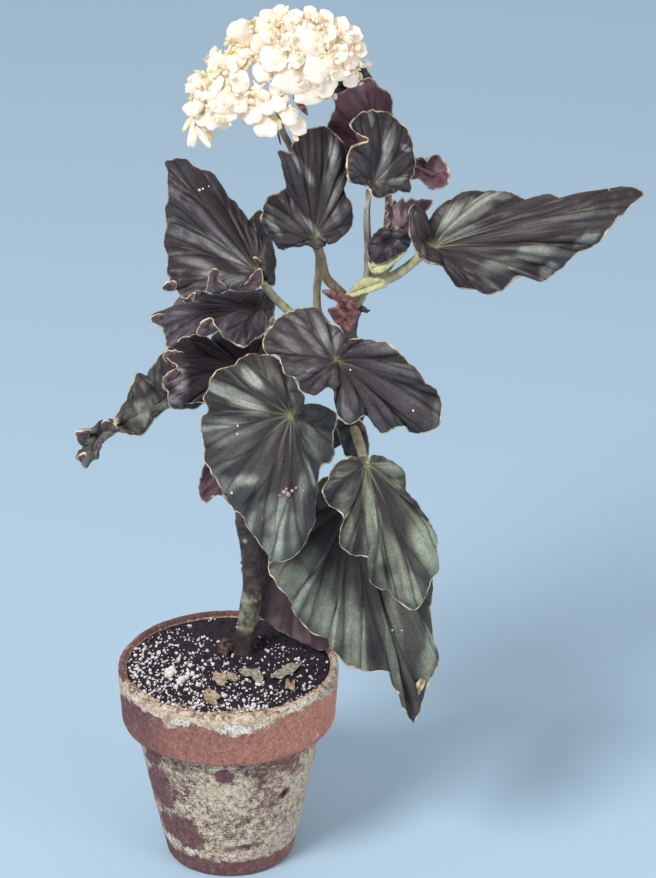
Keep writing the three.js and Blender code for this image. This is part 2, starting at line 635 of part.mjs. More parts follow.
// The petals and thread-thin branches of one spray, as one solid.
function sprayOf(spray, clearance = 0) {
  const dome = domes[spray.dome];
  const centre = sight(...dome.at, dome.depth);
  const places = spray.petals.map(([px, py, long, wide, turn]) => {
    const away = Math.hypot(px - dome.at[0], py - dome.at[1]) * pixel;
    const out = Math.sqrt(Math.max(dome.radius ** 2 - away ** 2, 9));
    const angle = THREE.MathUtils.degToRad(turn);
    const step = [Math.sin(angle) * long, Math.cos(angle) * long];
    const base = sight(px - step[0], py - step[1], dome.depth - 0.8 * out + 2);
    const tip = sight(px + step[0], py + step[1], dome.depth - 0.8 * out);
    const facing = base.clone().lerp(tip, 0.5).sub(centre).normalize().add(viewer).normalize();
    return { base, tip, facing, halfWidth: 1.12 * wide * pixel };
  });
  const hub = places.reduce((sum, p) => sum.add(p.base), new THREE.Vector3()).divideScalar(places.length);
  hub.lerp(centre, 0.45);
  const solids = places.map((p) => petalOf(p.base, p.tip, p.facing, p.halfWidth, clearance));
  for (const { base, tip, facing } of places) {
    const end = base.clone().lerp(tip, 0.35).addScaledVector(facing, -0.12 * base.distanceTo(tip));
    solids.push(stalk([hub, end], 0.9 + clearance, 0.8 + clearance, 4, 1));
  }
  return { solid: union(solids), hub };
}

const headClear = [];
const hubs = [];
for (const spray of sprays) {
  const { solid, hub } = sprayOf(spray);
  place("flowers_" + spray.name, geometryFrom(cutClear(solid, headClear)), materials.flower);
  headClear.push(sprayOf(spray, 1.3 * gap).solid);
  hubs.push({ hub, dome: spray.dome });
}

// The flower stalk leaves the stem behind a leaf, rises behind the upper leaf and branches to each spray.
const flowerStalkPath = [
  [350, 346, 4],
  [335, 333, 7],
  [319, 314, 7],
  [317, 292, 6],
  [319, 268, 4],
  [317, 232, 1],
  [303, 175, 2],
  [291, 148, 1],
  [282, 130, -2],
  [279, 112, -5],
].map((p) => sight(...p));
const fork = flowerStalkPath.at(-1);
const knees = {
  right: sight(296, 72, -6),
  left: sight(240, 92, -6),
  low: sight(274, 104, -9),
};
const flowerStalk = [stalk(flowerStalkPath, 2.0, 1.7, 6, 16)];
for (const knee of Object.values(knees))
  flowerStalk.push(stalk([fork, knee], 1.4, 1.1, 5, 1));
for (const { hub, dome } of hubs) {
  const knee = knees[dome];
  flowerStalk.push(stalk([knee, hub], 1.0, 0.8, 4, 1));
}
place(
  "flower_stalk",
  geometryFrom(cutClear(union(flowerStalk), [...stemClear, ...stalksClear, ...headClear])),
  materials.stalk,
);

// ---- stipules: thin bracts that clasp the stem where the stalks leave it ----
const stipules = [
  {
    name: "pale",
    heart: [367, 286, -7],
    margin: [[351, 294, 0], [356, 284, 1], [364, 277, 1], [376, 273, 0], [385, 276, 0], [382, 285, 2], [371, 293, 3], [359, 298, 2]],
    dome: 1,
    material: "stalk",
  },
  {
    name: "pale_upper",
    heart: [384, 262, -11],
    margin: [[372, 270, 0], [376, 260, 0], [384, 254, 0], [399, 252, 0], [395, 262, 1], [386, 269, 1]],
    dome: 1,
    material: "stalk",
  },
  {
    name: "brown",
    heart: [344, 312, -7.5],
    margin: [[352, 296, 0], [345, 300, 1], [336, 304, 0], [328, 315, 1], [332, 326, 0], [340, 333, 1], [350, 330, 2], [356, 318, 1], [357, 304, 0]],
    dome: 1,
    material: "dry",
  },
];
for (const stipule of stipules) {
  const body = cutClear(bladeOf(stipule).solid, [...stemClear, ...stalksClear]);
  place("stipule_" + stipule.name, geometryFrom(body), materials[stipule.material]);
}

// ---- loose bits on the potting mix: clumps of perlite and dry scraps ----
const ground = soil.crownHeight + gap;

// The point at a height that is seen at a pixel.
function seenAt(px, py, z) {
  const ray = sight(px, py, 0).sub(eye);
  return ray.multiplyScalar((z - eye.z) / ray.z).add(eye);
}

const clumps = [
  [[167, 669, 2.6], [172, 668, 2.6], [170, 672, 2.8]],
  [[181, 678, 2.5], [185, 677, 2.1], [178, 680, 1.9]],
];
clumps.forEach((grains, i) => {
  const solids = grains.map(([px, py, radius]) => {
    const { x, y } = seenAt(px, py, ground + 0.8 * radius);
    return solidOf(new THREE.IcosahedronGeometry(radius).translate(x, y, ground + radius));
  });
  place("perlite_clump_" + (i + 1), geometryFrom(union(solids)), materials.flower);
});

const scraps = {
  tan: [[214, 675], [222, 671], [233, 672], [238, 678], [229, 684], [217, 683]],
};
for (const [name, outline] of Object.entries(scraps)) {
  const shape = new THREE.Shape(outline.map(([px, py]) => {
    const { x, y } = seenAt(px, py, ground + 0.9);
    return new THREE.Vector2(x, y);
  }));
  const scrap = new THREE.ExtrudeGeometry(shape, { depth: 0.9, bevelEnabled: false }).translate(0, 0, ground);
  place("dry_scrap_" + name, geometryFrom(solidOf(scrap)), materials.dry);
}

export default plant;
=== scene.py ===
# A potted begonia: dark ruffled leaves and a head of white flowers in an old clay pot.
# Metres, +Z up, seen from -Y and a little from above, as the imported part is.
import math
from itertools import product

import bpy
import numpy as np
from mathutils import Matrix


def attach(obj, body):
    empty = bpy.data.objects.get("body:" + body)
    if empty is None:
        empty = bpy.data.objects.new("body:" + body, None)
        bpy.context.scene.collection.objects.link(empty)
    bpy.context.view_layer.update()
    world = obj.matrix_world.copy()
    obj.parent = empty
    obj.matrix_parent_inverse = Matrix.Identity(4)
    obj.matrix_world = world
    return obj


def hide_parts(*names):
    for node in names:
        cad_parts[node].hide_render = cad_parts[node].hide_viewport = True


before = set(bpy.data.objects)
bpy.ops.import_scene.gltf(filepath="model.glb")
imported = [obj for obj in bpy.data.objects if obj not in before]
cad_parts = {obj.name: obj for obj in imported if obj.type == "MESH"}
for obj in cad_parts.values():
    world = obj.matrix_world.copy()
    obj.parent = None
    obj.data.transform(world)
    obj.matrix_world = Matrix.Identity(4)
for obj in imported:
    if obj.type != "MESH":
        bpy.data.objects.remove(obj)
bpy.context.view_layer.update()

print("frame loaded:", len(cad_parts), "nodes")

# the sight line: most points are given by a pixel of the 656 x 878 picture and a depth y
picture = {"width": 656, "height": 878, "focal": 3730, "pitch": math.radians(25.88)}
eye = np.array((0.0496, -1.6194, 1.0145))
ahead = np.array((0, math.cos(picture["pitch"]), -math.sin(picture["pitch"])))
above = np.array((0, math.sin(picture["pitch"]), math.cos(picture["pitch"])))
pixel = 0.0004825  # metres, in the upright plane through the pot's axis
mm = 0.001


def sight(px, py, depth):
    # eye + ray through the pixel, stretched until its y is the depth
    px, py, depth = np.broadcast_arrays(*(np.asarray(a, float) for a in (px, py, depth)))
    ray = picture["focal"] * ahead + (picture["height"] / 2 - py)[..., None] * above
    ray[..., 0] = px - picture["width"] / 2
    return eye + ray * ((depth - eye[1]) / ray[..., 1])[..., None]


def alongSight(route):
    # the same for a list of [px, py, depth in mm]
    px, py, depth = np.array(route, float).T
    return sight(px, py, depth * mm)


def pixelOf(points):
    # where points show: the offset across and up, over the distance ahead
    away = points - eye
    reach = away @ ahead
    across = picture["width"] / 2 + picture["focal"] * away[..., 0] / reach
    return across, picture["height"] / 2 - picture["focal"] * (away @ above) / reach


def seenAt(px, py, height):
    # the point at a height that shows at a pixel
    ray = sight(px, py, 0.0) - eye
    return eye + ray * ((height - eye[2]) / ray[..., 2])[..., None]


# shapes as whole arrays
def unit(vectors):
    return vectors / np.maximum(np.linalg.norm(vectors, axis=-1, keepdims=True), 1e-12)


def fullTurn(sides):
    return np.linspace(0, 2 * np.pi, sides, endpoint=False)


def ease(low, high, x):
    # 0 below low, 1 above high, smooth between
    t = np.clip((x - low) / (high - low), 0, 1)
    return t * t * (3 - 2 * t)


def cloud(points, size, seed=0):
    # smooth random field, -1 to 1: random values on a lattice of that size, eased between the corners
    cell = np.asarray(points, float) / size + 7.31 * seed
    low = np.floor(cell)
    part = cell - low
    part = part * part * (3 - 2 * part)
    total = 0
    for corner in product((0, 1), repeat=3):
        value = np.sin((low + corner) @ np.array((12.9898, 78.233, 37.719))) * 43758.5453
        weight = np.prod(np.where(np.array(corner) == 1, part, 1 - part), axis=-1)
        total = total + weight * (value - np.floor(value))
    return 2 * total - 1


def cloudOn(x, y, size, seed, z=0):
    # the same field read on a level sheet
    x, y, z = np.broadcast_arrays(x, y, z)
    return cloud(np.stack((x, y, z), -1), size, seed)


def patches(px, py, spots):
    # the strongest of several soft ovals: [px, py, half length, half width, turn in degrees, strength]
    best = np.zeros(np.shape(px))
    for cx, cy, long, wide, turn, strength in spots:
        c, s = math.cos(math.radians(turn)), math.sin(math.radians(turn))
        along = ((px - cx) * c + (py - cy) * s) / long
        across = ((py - cy) * c - (px - cx) * s) / wide
        best = np.maximum(best, strength * (1 - ease(0.45, 1.3, np.hypot(along, across))))
    return best


def smoothPath(points, count, closed=False):
    # a cubic through the points (each slope is half the step between its neighbours), at even arc length
    p = np.asarray(points, float)
    if closed:
        a, b, c, d = np.roll(p, 1, 0), p, np.roll(p, -1, 0), np.roll(p, -2, 0)
    else:
        p = np.vstack((2 * p[0] - p[1], p, 2 * p[-1] - p[-2]))
        a, b, c, d = p[:-3], p[1:-2], p[2:-1], p[3:]
    t = np.linspace(0, 1, 16, endpoint=False)[:, None, None]
    fine = 0.5 * (2 * b + (c - a) * t + (2 * a - 5 * b + 4 * c - d) * t**2 + (3 * b - a - 3 * c + d) * t**3)
    fine = fine.transpose(1, 0, 2).reshape(-1, p.shape[1])
    fine = np.vstack((fine, p[:1] if closed else p[-2:-1]))
    run = np.concatenate(([0], np.cumsum(np.linalg.norm(np.diff(fine, axis=0), axis=1))))
    at = np.linspace(0, run[-1], count, endpoint=not closed)
    return np.stack([np.interp(at, run, fine[:, k]) for k in range(fine.shape[1])], 1)


def newShell(points, quads, tris, marks=None):
    # points, faces with the number of their finish, and marks: values for each point that the finishes read
    return {"points": points, "quads": quads, "tris": tris, "marks": marks or {},
            "quadFinish": np.zeros(len(quads), int), "triFinish": np.zeros(len(tris), int)}


def ringShell(rings, first, last, marks=None):
    # a closed skin from rings (rows, sides, 3) and a point at each end: quads between rings, fans at the ends
    rows, sides, _ = rings.shape
    points = np.vstack((first[None], rings.reshape(-1, 3), last[None]))
    here = np.arange(sides)
    beyond = (here + 1) % sides
    rowStart = 1 + np.arange(rows - 1)[:, None] * sides
    a, b = rowStart + here, rowStart + beyond
    quads = np.stack((a, b, b + sides, a + sides), -1).reshape(-1, 4)
    end = rows * sides + 1
    tail = end - sides
    start = np.stack((np.zeros_like(here), 1 + beyond, 1 + here), -1)
    stop = np.stack((np.full_like(here, end), tail + here, tail + beyond), -1)
    return newShell(points, quads, np.vstack((start, stop)), marks)


def joined(shells):
    # several shells as one: their arrays end to end, with the faces' numbers moved on
    counts = np.cumsum([0] + [len(s["points"]) for s in shells])
    whole = {"points": np.vstack([s["points"] for s in shells])}
    for key, corners in {"quads": 4, "tris": 3}.items():
        whole[key] = np.vstack([s[key].reshape(-1, corners) + c for s, c in zip(shells, counts)])
    for key in ("quadFinish", "triFinish"):
        whole[key] = np.concatenate([s[key] for s in shells])
    whole["marks"] = {}
    for mark in sorted({mark for s in shells for mark in s["marks"]}):
        values = [s["marks"].get(mark, np.zeros(len(s["points"]))) for s in shells]
        whole["marks"][mark] = np.concatenate(values)
    return whole


def inFinish(shell, number):
    # the whole shell in one of its piece's finishes
    shell["quadFinish"][:] = number
    shell["triFinish"][:] = number
    return shell


def tube(path, radius, sides=12, lumps=0.0, lumpSize=0.004, seed=0, flush=0.0):
    # centre + radius (cos n + sin b), n and b square to the path, and lumps of smooth random height
    path = np.asarray(path)
    radius = np.broadcast_to(radius, len(path))
    tangent = unit(np.gradient(path, axis=0))
    guide = np.eye(3)[np.argmin(np.abs(tangent).max(axis=0))]
    normal = unit(np.cross(tangent, guide))
    binormal = np.cross(tangent, normal)
    turn = fullTurn(sides)
    out = np.cos(turn)[:, None] * normal[:, None] + np.sin(turn)[:, None] * binormal[:, None]
    rings = path[:, None] + radius[:, None, None] * out
    if lumps:
        rings = rings + lumps * cloud(rings, lumpSize, seed)[..., None] * out
    bulge = 0.35  # of the radius, past each end
    first = path[0] - bulge * radius[0] * tangent[0]
    last = path[-1] + bulge * radius[-1] * tangent[-1]
    shell = ringShell(rings, first, last)
    shell["marks"]["flush"] = np.full(len(shell["points"]), float(flush))
    return shell


def lump(centre, radius, seed, rows=12, sides=18):
    # a ball whose radius wanders: centre + radius (1 + 0.22 noise + 0.1 finer noise) in every direction
    polar = np.linspace(0, np.pi, rows + 2)[1:-1][:, None]
    turn = fullTurn(sides)
    level = np.sin(polar)
    way = np.stack((level * np.cos(turn), level * np.sin(turn), -np.cos(polar) + 0 * turn), -1)
    wander = 1 + 0.22 * cloud(way, 0.8, seed) + 0.1 * cloud(way, 0.35, seed + 1)
    rings = np.asarray(centre) + np.asarray(radius, float) * wander[..., None] * way
    end = np.array((0, 0, 1.0)) * np.asarray(radius)
    return ringShell(rings, np.asarray(centre) - end, np.asarray(centre) + end)


def addObject(name, content):
    thing = bpy.data.objects.new(name, content)
    bpy.context.scene.collection.objects.link(thing)
    return thing


def makePiece(name, shell, finishes, replaces=(), smooth=True):
    mesh = bpy.data.meshes.new(name)
    quads, tris = shell["quads"], shell["tris"]
    corners = np.concatenate((quads.ravel(), tris.ravel())).astype(np.int32)
    starts = np.concatenate((np.arange(len(quads)) * 4, 4 * len(quads) + np.arange(len(tris)) * 3))
    mesh.vertices.add(len(shell["points"]))
    mesh.vertices.foreach_set("co", shell["points"].astype(np.float32).ravel())
    mesh.loops.add(len(corners))
    mesh.loops.foreach_set("vertex_index", corners)
    mesh.polygons.add(len(starts))
    mesh.polygons.foreach_set("loop_start", starts.astype(np.int32))
    mesh.update(calc_edges=True)
    faceFinish = np.concatenate((shell["quadFinish"], shell["triFinish"]))
    mesh.polygons.foreach_set("material_index", faceFinish.astype(np.int32))
    mesh.polygons.foreach_set("use_smooth", np.full(len(starts), smooth))
    for mark, values in shell["marks"].items():
        layer = mesh.attributes.new(mark, "FLOAT", "POINT")
        layer.data.foreach_set("value", values.astype(np.float32))
    mesh.update()
    piece = addObject(name, mesh)
    for each in finishes:
        mesh.materials.append(finish[each])
    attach(piece, "root")
    if replaces:
        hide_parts(*replaces)
    return piece


# finishes
def linear(colour):
    # the linear colour that shaders take, from an sRGB hex one or from a grey level that is linear already
    if not isinstance(colour, str):
        return (colour, colour, colour, 1.0)
    channels = np.array([int(colour[i : i + 2], 16) for i in (1, 3, 5)]) / 255
    curve = np.where(channels <= 0.04045, channels / 12.92, ((channels + 0.055) / 1.055) ** 2.4)
    return (*curve.tolist(), 1.0)


def feed(tree, node, sources):
    # a node's inputs from other nodes: the first output in use, or the very socket that is given
    for key, source in sources.items():
        if not isinstance(source, bpy.types.NodeSocket):
            source = next(output for output in source.outputs if output.enabled)
        tree.links.new(source, node.inputs[key])


def addNode(tree, kind, settings=None, sources=None):
    # one shader node: names in small letters are its properties, ramp its colour stops, the others its inputs
    node = tree.nodes.new("ShaderNode" + kind)
    for key, value in (settings or {}).items():
        if key == "ramp":
            stops = node.color_ramp.elements
            for place, colour in value[2:]:
                stops.new(place)
            for stop, (place, colour) in zip(stops, value):
                stop.position, stop.color = place, linear(colour)
        elif isinstance(key, str) and key[0].islower():
            setattr(node, key, value)
        else:
            node.inputs[key].default_value = linear(value) if isinstance(value, str) else value
    feed(tree, node, sources or {})
    return node


def newFinish(name, shaderSettings, marks=()):
    # a material, its nodes, its shader, the place on the piece, and the values that the piece's mesh carries
    material = bpy.data.materials.new(name)
    material.use_nodes = True
    tree = material.node_tree
    shader = tree.nodes["Principled BSDF"]
    for key, value in shaderSettings.items():
        shader.inputs[key].default_value = value
    place = addNode(tree, "TexCoord").outputs["Object"]
    mark = {key: addNode(tree, "Attribute", {"attribute_name": key}).outputs["Fac"] for key in marks}
    return material, tree, shader, place, mark


# inputs by number: a Mix takes its share at 0 and two colours at 6 and 7; a Map Range takes its value at 0,
# the range it expects at 1 and 2 and the range it gives at 3 and 4
blend = {"data_type": "RGBA"}
multiply = {"data_type": "RGBA", "blend_type": "MULTIPLY", 0: 1.0}

leafColours = {
    "dark": "#2a2a2a",
    "plum": "#362931",
    # the bloom colours are partly the leaf's own grey-green tint and partly painted sheen
    "bloom": "#a8b099",
    "duskBloomAndSheen": "#9b96a3",
    "vein": "#8b8f6f",
    "heart": "#b4b57c",
    "margin": "#d1bd95",
    "driedAndShadedMargin": "#40332f",
    # a dark margin for dried edges, and painted shade on the leaf behind the stem
    "under": "#6c4254",
    "underVein": "#a87f8c",
    "underBloomAndSheen": "#c4adb4",
}


def leafUpperFinish():
    # begonia leaf, upper side: near black-brown with a satin skin, a grey-green bloom between the veins that
    # is partly its own tint and partly painted sheen, painted shade in the vein creases and pale veins round
    # the heart, so the folds show as soft painted lights on a dark sheet
    material, tree, shader, place, mark = newFinish(
        "satin dark begonia leaf, upper side",
        {"IOR": 1.45, "Specular IOR Level": 0.36},
        ["bloom", "vein", "heart", "groove", "plum", "dusk"],
    )
    broad = addNode(tree, "TexNoise", {"Scale": 70, "Detail": 3}, {"Vector": place})
    fine = addNode(tree, "TexNoise", {"Scale": 850, "Detail": 2}, {"Vector": place})  # cells of 1.2 mm
    redness = addNode(tree, "Math", {"operation": "MULTIPLY_ADD", 1: 0.8, 2: -0.4}, {0: broad})
    redness = addNode(tree, "Math", {"operation": "ADD", "use_clamp": True}, {0: redness, 1: mark["plum"]})
    colour = addNode(tree, "Mix", {**blend, 6: leafColours["dark"], 7: leafColours["plum"]}, {0: redness})
    # painted sheen: the grey-green mixed in here is partly the leaf's own tint and partly painted sheen
    drift = addNode(tree, "MapRange", {1: 0.3, 2: 0.7, 3: 0.55, 4: 1.15}, {0: broad})
    amount = addNode(tree, "Math", {"operation": "MULTIPLY", "use_clamp": True}, {0: mark["bloom"], 1: drift})
    sheen = {**blend, 6: leafColours["bloom"], 7: leafColours["duskBloomAndSheen"]}
    sheen = addNode(tree, "Mix", sheen, {0: mark["dusk"]})
    colour = addNode(tree, "Mix", blend, {0: amount, 6: colour, 7: sheen})
    grain = addNode(tree, "MapRange", {1: 0.25, 2: 0.75, 3: 0.72, 4: 1.28}, {0: fine})
    colour = addNode(tree, "Mix", multiply, {6: colour, 7: grain})
    # painted shade: the sunk vein creases are darkened, down to three tenths of the colour
    depth = addNode(tree, "MapRange", {3: 1.0, 4: 0.3}, {0: mark["groove"]})
    colour = addNode(tree, "Mix", multiply, {6: colour, 7: depth})
    for name in ("vein", "heart"):
        colour = addNode(tree, "Mix", {**blend, 7: leafColours[name]}, {0: mark[name], 6: colour})
    rough = addNode(tree, "MapRange", {3: 0.38, 4: 0.52}, {0: broad})
    bump = addNode(tree, "Bump", {"Strength": 0.35, "Distance": 0.0003}, {"Height": fine})
    feed(tree, shader, {"Base Color": colour, "Roughness": rough, "Normal": bump})
    return material


def leafUnderFinish():
    # begonia leaf, underside: dull wine red with raised, paler veins and a fine felt
    material, tree, shader, place, mark = newFinish(
        "felted wine-red begonia leaf, underside",
        {"Sheen Weight": 0.15, "Sheen Roughness": 0.5},
        ["vein", "plum", "bloom"],
    )
    broad = addNode(tree, "TexNoise", {"Scale": 90, "Detail": 3}, {"Vector": place})
    fine = addNode(tree, "TexNoise", {"Scale": 1000, "Detail": 2}, {"Vector": place})
    stops = [(0.3, "#4f323e"), (0.5, leafColours["under"]), (0.72, "#7c596a")]
    colour = addNode(tree, "ValToRGB", {"ramp": stops}, {0: broad})
    # painted shade: a plum value past one half darkens it, as on leaves in deep shade
    shade = addNode(tree, "MapRange", {1: 0.5, 3: 1.0, 4: 0.2}, {0: mark["plum"]})
    colour = addNode(tree, "Mix", multiply, {6: colour, 7: shade})
    # painted sheen: a pale lilac is laid on where the bloom mark is set
    colour = addNode(tree, "Mix", {**blend, 7: leafColours["underBloomAndSheen"]}, {0: mark["bloom"], 6: colour})
    colour = addNode(tree, "Mix", {**blend, 7: leafColours["underVein"]}, {0: mark["vein"], 6: colour})
    bump = addNode(tree, "Bump", {"Strength": 0.3, "Distance": 0.0003}, {"Height": fine})
    rough = addNode(tree, "MapRange", {3: 0.5, 4: 0.68}, {0: fine})
    feed(tree, shader, {"Base Color": colour, "Roughness": rough, "Normal": bump})
    return material


def leafMarginFinish():
    # the crisp cream line along a leaf's edge, browner where it has dried, and dark as painted shade where
    # the edge value is nil, as on the leaf behind the stem
    material, tree, shader, place, mark = newFinish("cream ruffled leaf margin", {"Roughness": 0.6}, ["edge"])
    noise = addNode(tree, "TexNoise", {"Scale": 260, "Detail": 3}, {"Vector": place})
    stops = [(0.3, "#94805f"), (0.48, leafColours["margin"]), (0.7, "#e6d9b9")]
    cream = addNode(tree, "ValToRGB", {"ramp": stops}, {0: noise})
    drift = addNode(tree, "MapRange", {1: 0.35, 2: 0.65, 3: -0.35, 4: 0.35}, {0: noise})
    amount = addNode(tree, "Math", {"operation": "ADD", "use_clamp": True}, {0: mark["edge"], 1: drift})
    colour = addNode(tree, "Mix", {**blend, 6: leafColours["driedAndShadedMargin"]}, {0: amount, 7: cream})
    feed(tree, shader, {"Base Color": colour})
    return material


def stalkFinish(name, stops):
    # fleshy leaf stalk: smooth and pale, brown flecks along it, flushed red near the top of the stem; the
    # dark red flush also paints shade on stalks set deep among the leaves
    flesh = {"IOR": 1.42, "Subsurface Weight": 0.1, "Subsurface Scale": 0.002}
    flesh["Subsurface Radius"] = (1.0, 0.8, 0.4)
    material, tree, shader, place, mark = newFinish(name, flesh, ["flush"])
    long = addNode(tree, "Mapping", {"Scale": (1.0, 1.0, 0.35)}, {"Vector": place})
    streak = addNode(tree, "TexNoise", {"Scale": 420, "Detail": 4}, {"Vector": long})
    broad = addNode(tree, "TexNoise", {"Scale": 110, "Detail": 2}, {"Vector": place})
    pale = addNode(tree, "ValToRGB", {"ramp": stops}, {0: streak})
    shade = addNode(tree, "ValToRGB", {"ramp": [(0.3, 0.72), (0.65, 1.0)]}, {0: broad})
    pale = addNode(tree, "Mix", multiply, {6: pale, 7: shade})
    red = addNode(tree, "ValToRGB", {"ramp": [(0.3, "#4a2a24"), (0.7, "#8a4f3c")]}, {0: streak})
    colour = addNode(tree, "Mix", blend, {0: mark["flush"], 6: pale, 7: red})
    bump = addNode(tree, "Bump", {"Strength": 0.3, "Distance": 0.0002}, {"Height": streak})
    rough = addNode(tree, "MapRange", {3: 0.42, 4: 0.6}, {0: broad})
    feed(tree, shader, {"Base Color": colour, "Roughness": rough, "Normal": bump})
    return material


def stemFinish():
    # old stem: dull grey-green skin with dark brown mottles and corky scars
    material, tree, shader, place, mark = newFinish("mottled woody begonia stem", {"IOR": 1.45}, ["flush"])
    mottle = {"Scale": 180, "Detail": 5, "Roughness": 0.6}
    mottle = addNode(tree, "TexNoise", mottle, {"Vector": place})
    fine = addNode(tree, "TexNoise", {"Scale": 900, "Detail": 3}, {"Vector": place})
    stops = [(0.3, "#3a302c"), (0.44, "#5f5a4c"), (0.56, "#8f917b"), (0.75, "#b3b39a")]
    bark = addNode(tree, "ValToRGB", {"ramp": stops}, {0: mottle})
    # the dusky ramp: the old stem's own dark skin, and painted shade where the stem runs among the leaves
    dusk = addNode(tree, "ValToRGB", {"ramp": [(0.35, "#2b2026"), (0.7, "#5c4a4a")]}, {0: mottle})
    aged = addNode(tree, "Mix", blend, {0: mark["flush"], 6: bark, 7: dusk})
    shade = addNode(tree, "ValToRGB", {"ramp": [(0.3, 0.7), (0.7, 1.1)]}, {0: fine})
    colour = addNode(tree, "Mix", multiply, {6: aged, 7: shade})
    bump = addNode(tree, "Bump", {"Strength": 0.5, "Distance": 0.0004}, {"Height": mottle})
    rough = addNode(tree, "MapRange", {3: 0.5, 4: 0.75}, {0: mottle})
    feed(tree, shader, {"Base Color": colour, "Roughness": rough, "Normal": bump})
    return material


def petalFinish(name, stops, glow):
    # begonia petal: thin, watery flesh that lets light through, hardly shiny, with a faint glow in its own
    # colour, painted light that makes it look bright and soft
    flesh = {
        # the emission is painted light: the petal glows faintly in its own colour
        "Roughness": 0.55, "IOR": 1.35, "Sheen Weight": 0.1, "Emission Strength": 0.1,
        "Subsurface Weight": glow, "Subsurface Scale": 0.003, "Subsurface Radius": (1.0, 0.85, 0.6),
    }
    material, tree, shader, place, _ = newFinish(name, flesh)
    noise = addNode(tree, "TexNoise", {"Scale": 240, "Detail": 3}, {"Vector": place})
    colour = addNode(tree, "ValToRGB", {"ramp": stops}, {0: noise})
    bump = addNode(tree, "Bump", {"Strength": 0.15, "Distance": 0.0003}, {"Height": noise})
    feed(tree, shader, {"Base Color": colour, "Emission Color": colour, "Normal": bump})
    return material


def clayFinish():
    # fired terracotta, unglazed and long used: chalky orange to purple-brown clay under a crust of lime,
    # whitest along the crust's edge, all dead matt with a sandy grain; the purple-brown is damp clay and,
    # darker on the left side, painted shade
    material, tree, shader, place, mark = newFinish(
        "limed old terracotta", {"IOR": 1.5, "Specular IOR Level": 0.25}, ["lime", "salt", "damp", "stain"]
    )
    sand = {"Scale": 1050, "Detail": 4, "Roughness": 0.7}  # of 1 mm
    sand = addNode(tree, "TexNoise", sand, {"Vector": place})
    mottle = {"Scale": 330, "Detail": 6, "Roughness": 0.72}
    mottle = addNode(tree, "TexNoise", mottle, {"Vector": place})
    broad = addNode(tree, "TexNoise", {"Scale": 32, "Detail": 3}, {"Vector": place})
    stops = [(0.3, "#bb7a66"), (0.5, "#d59078"), (0.7, "#e8ab94")]
    dry = addNode(tree, "ValToRGB", {"ramp": stops}, {0: mottle})
    # wet clay's purple-brown, which also serves as painted shade
    stops = [(0.3, "#5b3f43"), (0.5, "#785556"), (0.7, "#946d66")]
    wetAndShaded = addNode(tree, "ValToRGB", {"ramp": stops}, {0: mottle})
    colour = addNode(tree, "Mix", blend, {0: mark["damp"], 6: dry, 7: wetAndShaded})
    stops = [(0.3, "#967e6d"), (0.45, "#c0aa94"), (0.56, "#d8c4ad"), (0.72, "#eee2d3")]
    crust = addNode(tree, "ValToRGB", {"ramp": stops}, {0: mottle})
    wander = addNode(tree, "MapRange", {1: 0.3, 2: 0.7, 3: -0.34, 4: 0.34}, {0: mottle})
    pits = addNode(tree, "MapRange", {1: 0.3, 2: 0.7, 3: -0.2, 4: 0.2}, {0: sand})
    edge = addNode(tree, "Math", {"operation": "ADD"}, {0: mark["lime"], 1: wander})
    edge = addNode(tree, "Math", {"operation": "ADD"}, {0: edge, 1: pits})
    cover = addNode(tree, "MapRange", {1: 0.28, 2: 0.7}, {0: edge})
    colour = addNode(tree, "Mix", blend, {0: cover, 6: colour, 7: crust})
    grit = addNode(tree, "MapRange", {1: 0.35, 2: 0.65, 3: -0.4, 4: 0.3}, {0: sand})
    edge = addNode(tree, "Math", {"operation": "ADD"}, {0: mark["salt"], 1: wander})
    edge = addNode(tree, "Math", {"operation": "ADD"}, {0: edge, 1: grit})
    saltCover = addNode(tree, "MapRange", {1: 0.5, 2: 0.8, 4: 0.9}, {0: edge})
    colour = addNode(tree, "Mix", {**blend, 7: "#e6e0da"}, {0: saltCover, 6: colour})
    stops = [(0.33, 0.42), (0.45, 0.86), (0.55, 1.05), (0.68, 1.3)]
    shade = addNode(tree, "ValToRGB", {"ramp": stops}, {0: sand})
    colour = addNode(tree, "Mix", multiply, {6: colour, 7: shade})
    colour = addNode(tree, "Mix", {**blend, 7: "#2f2328"}, {0: mark["stain"], 6: colour})
    height = addNode(tree, "Math", {"operation": "MULTIPLY_ADD", 1: 1.6}, {0: cover, 2: sand})
    bump = addNode(tree, "Bump", {"Strength": 0.6, "Distance": 0.0004}, {"Height": height})
    rough = addNode(tree, "MapRange", {3: 0.82, 4: 0.97}, {0: broad})
    feed(tree, shader, {"Base Color": colour, "Roughness": rough, "Normal": bump})
    return material


def crumbFinish(name, scale, roughness, bumpDistance, stops):
    # a matt, crumbly stuff whose colour wanders between a few tones, with a rough skin
    material, tree, shader, place, _ = newFinish(name, {"Roughness": roughness})
    noise = addNode(tree, "TexNoise", {"Scale": scale, "Detail": 4, "Roughness": 0.65}, {"Vector": place})
    colour = addNode(tree, "ValToRGB", {"ramp": stops}, {0: noise})
    bump = addNode(tree, "Bump", {"Strength": 0.7, "Distance": bumpDistance}, {"Height": noise})
    feed(tree, shader, {"Base Color": colour, "Normal": bump})
    return material


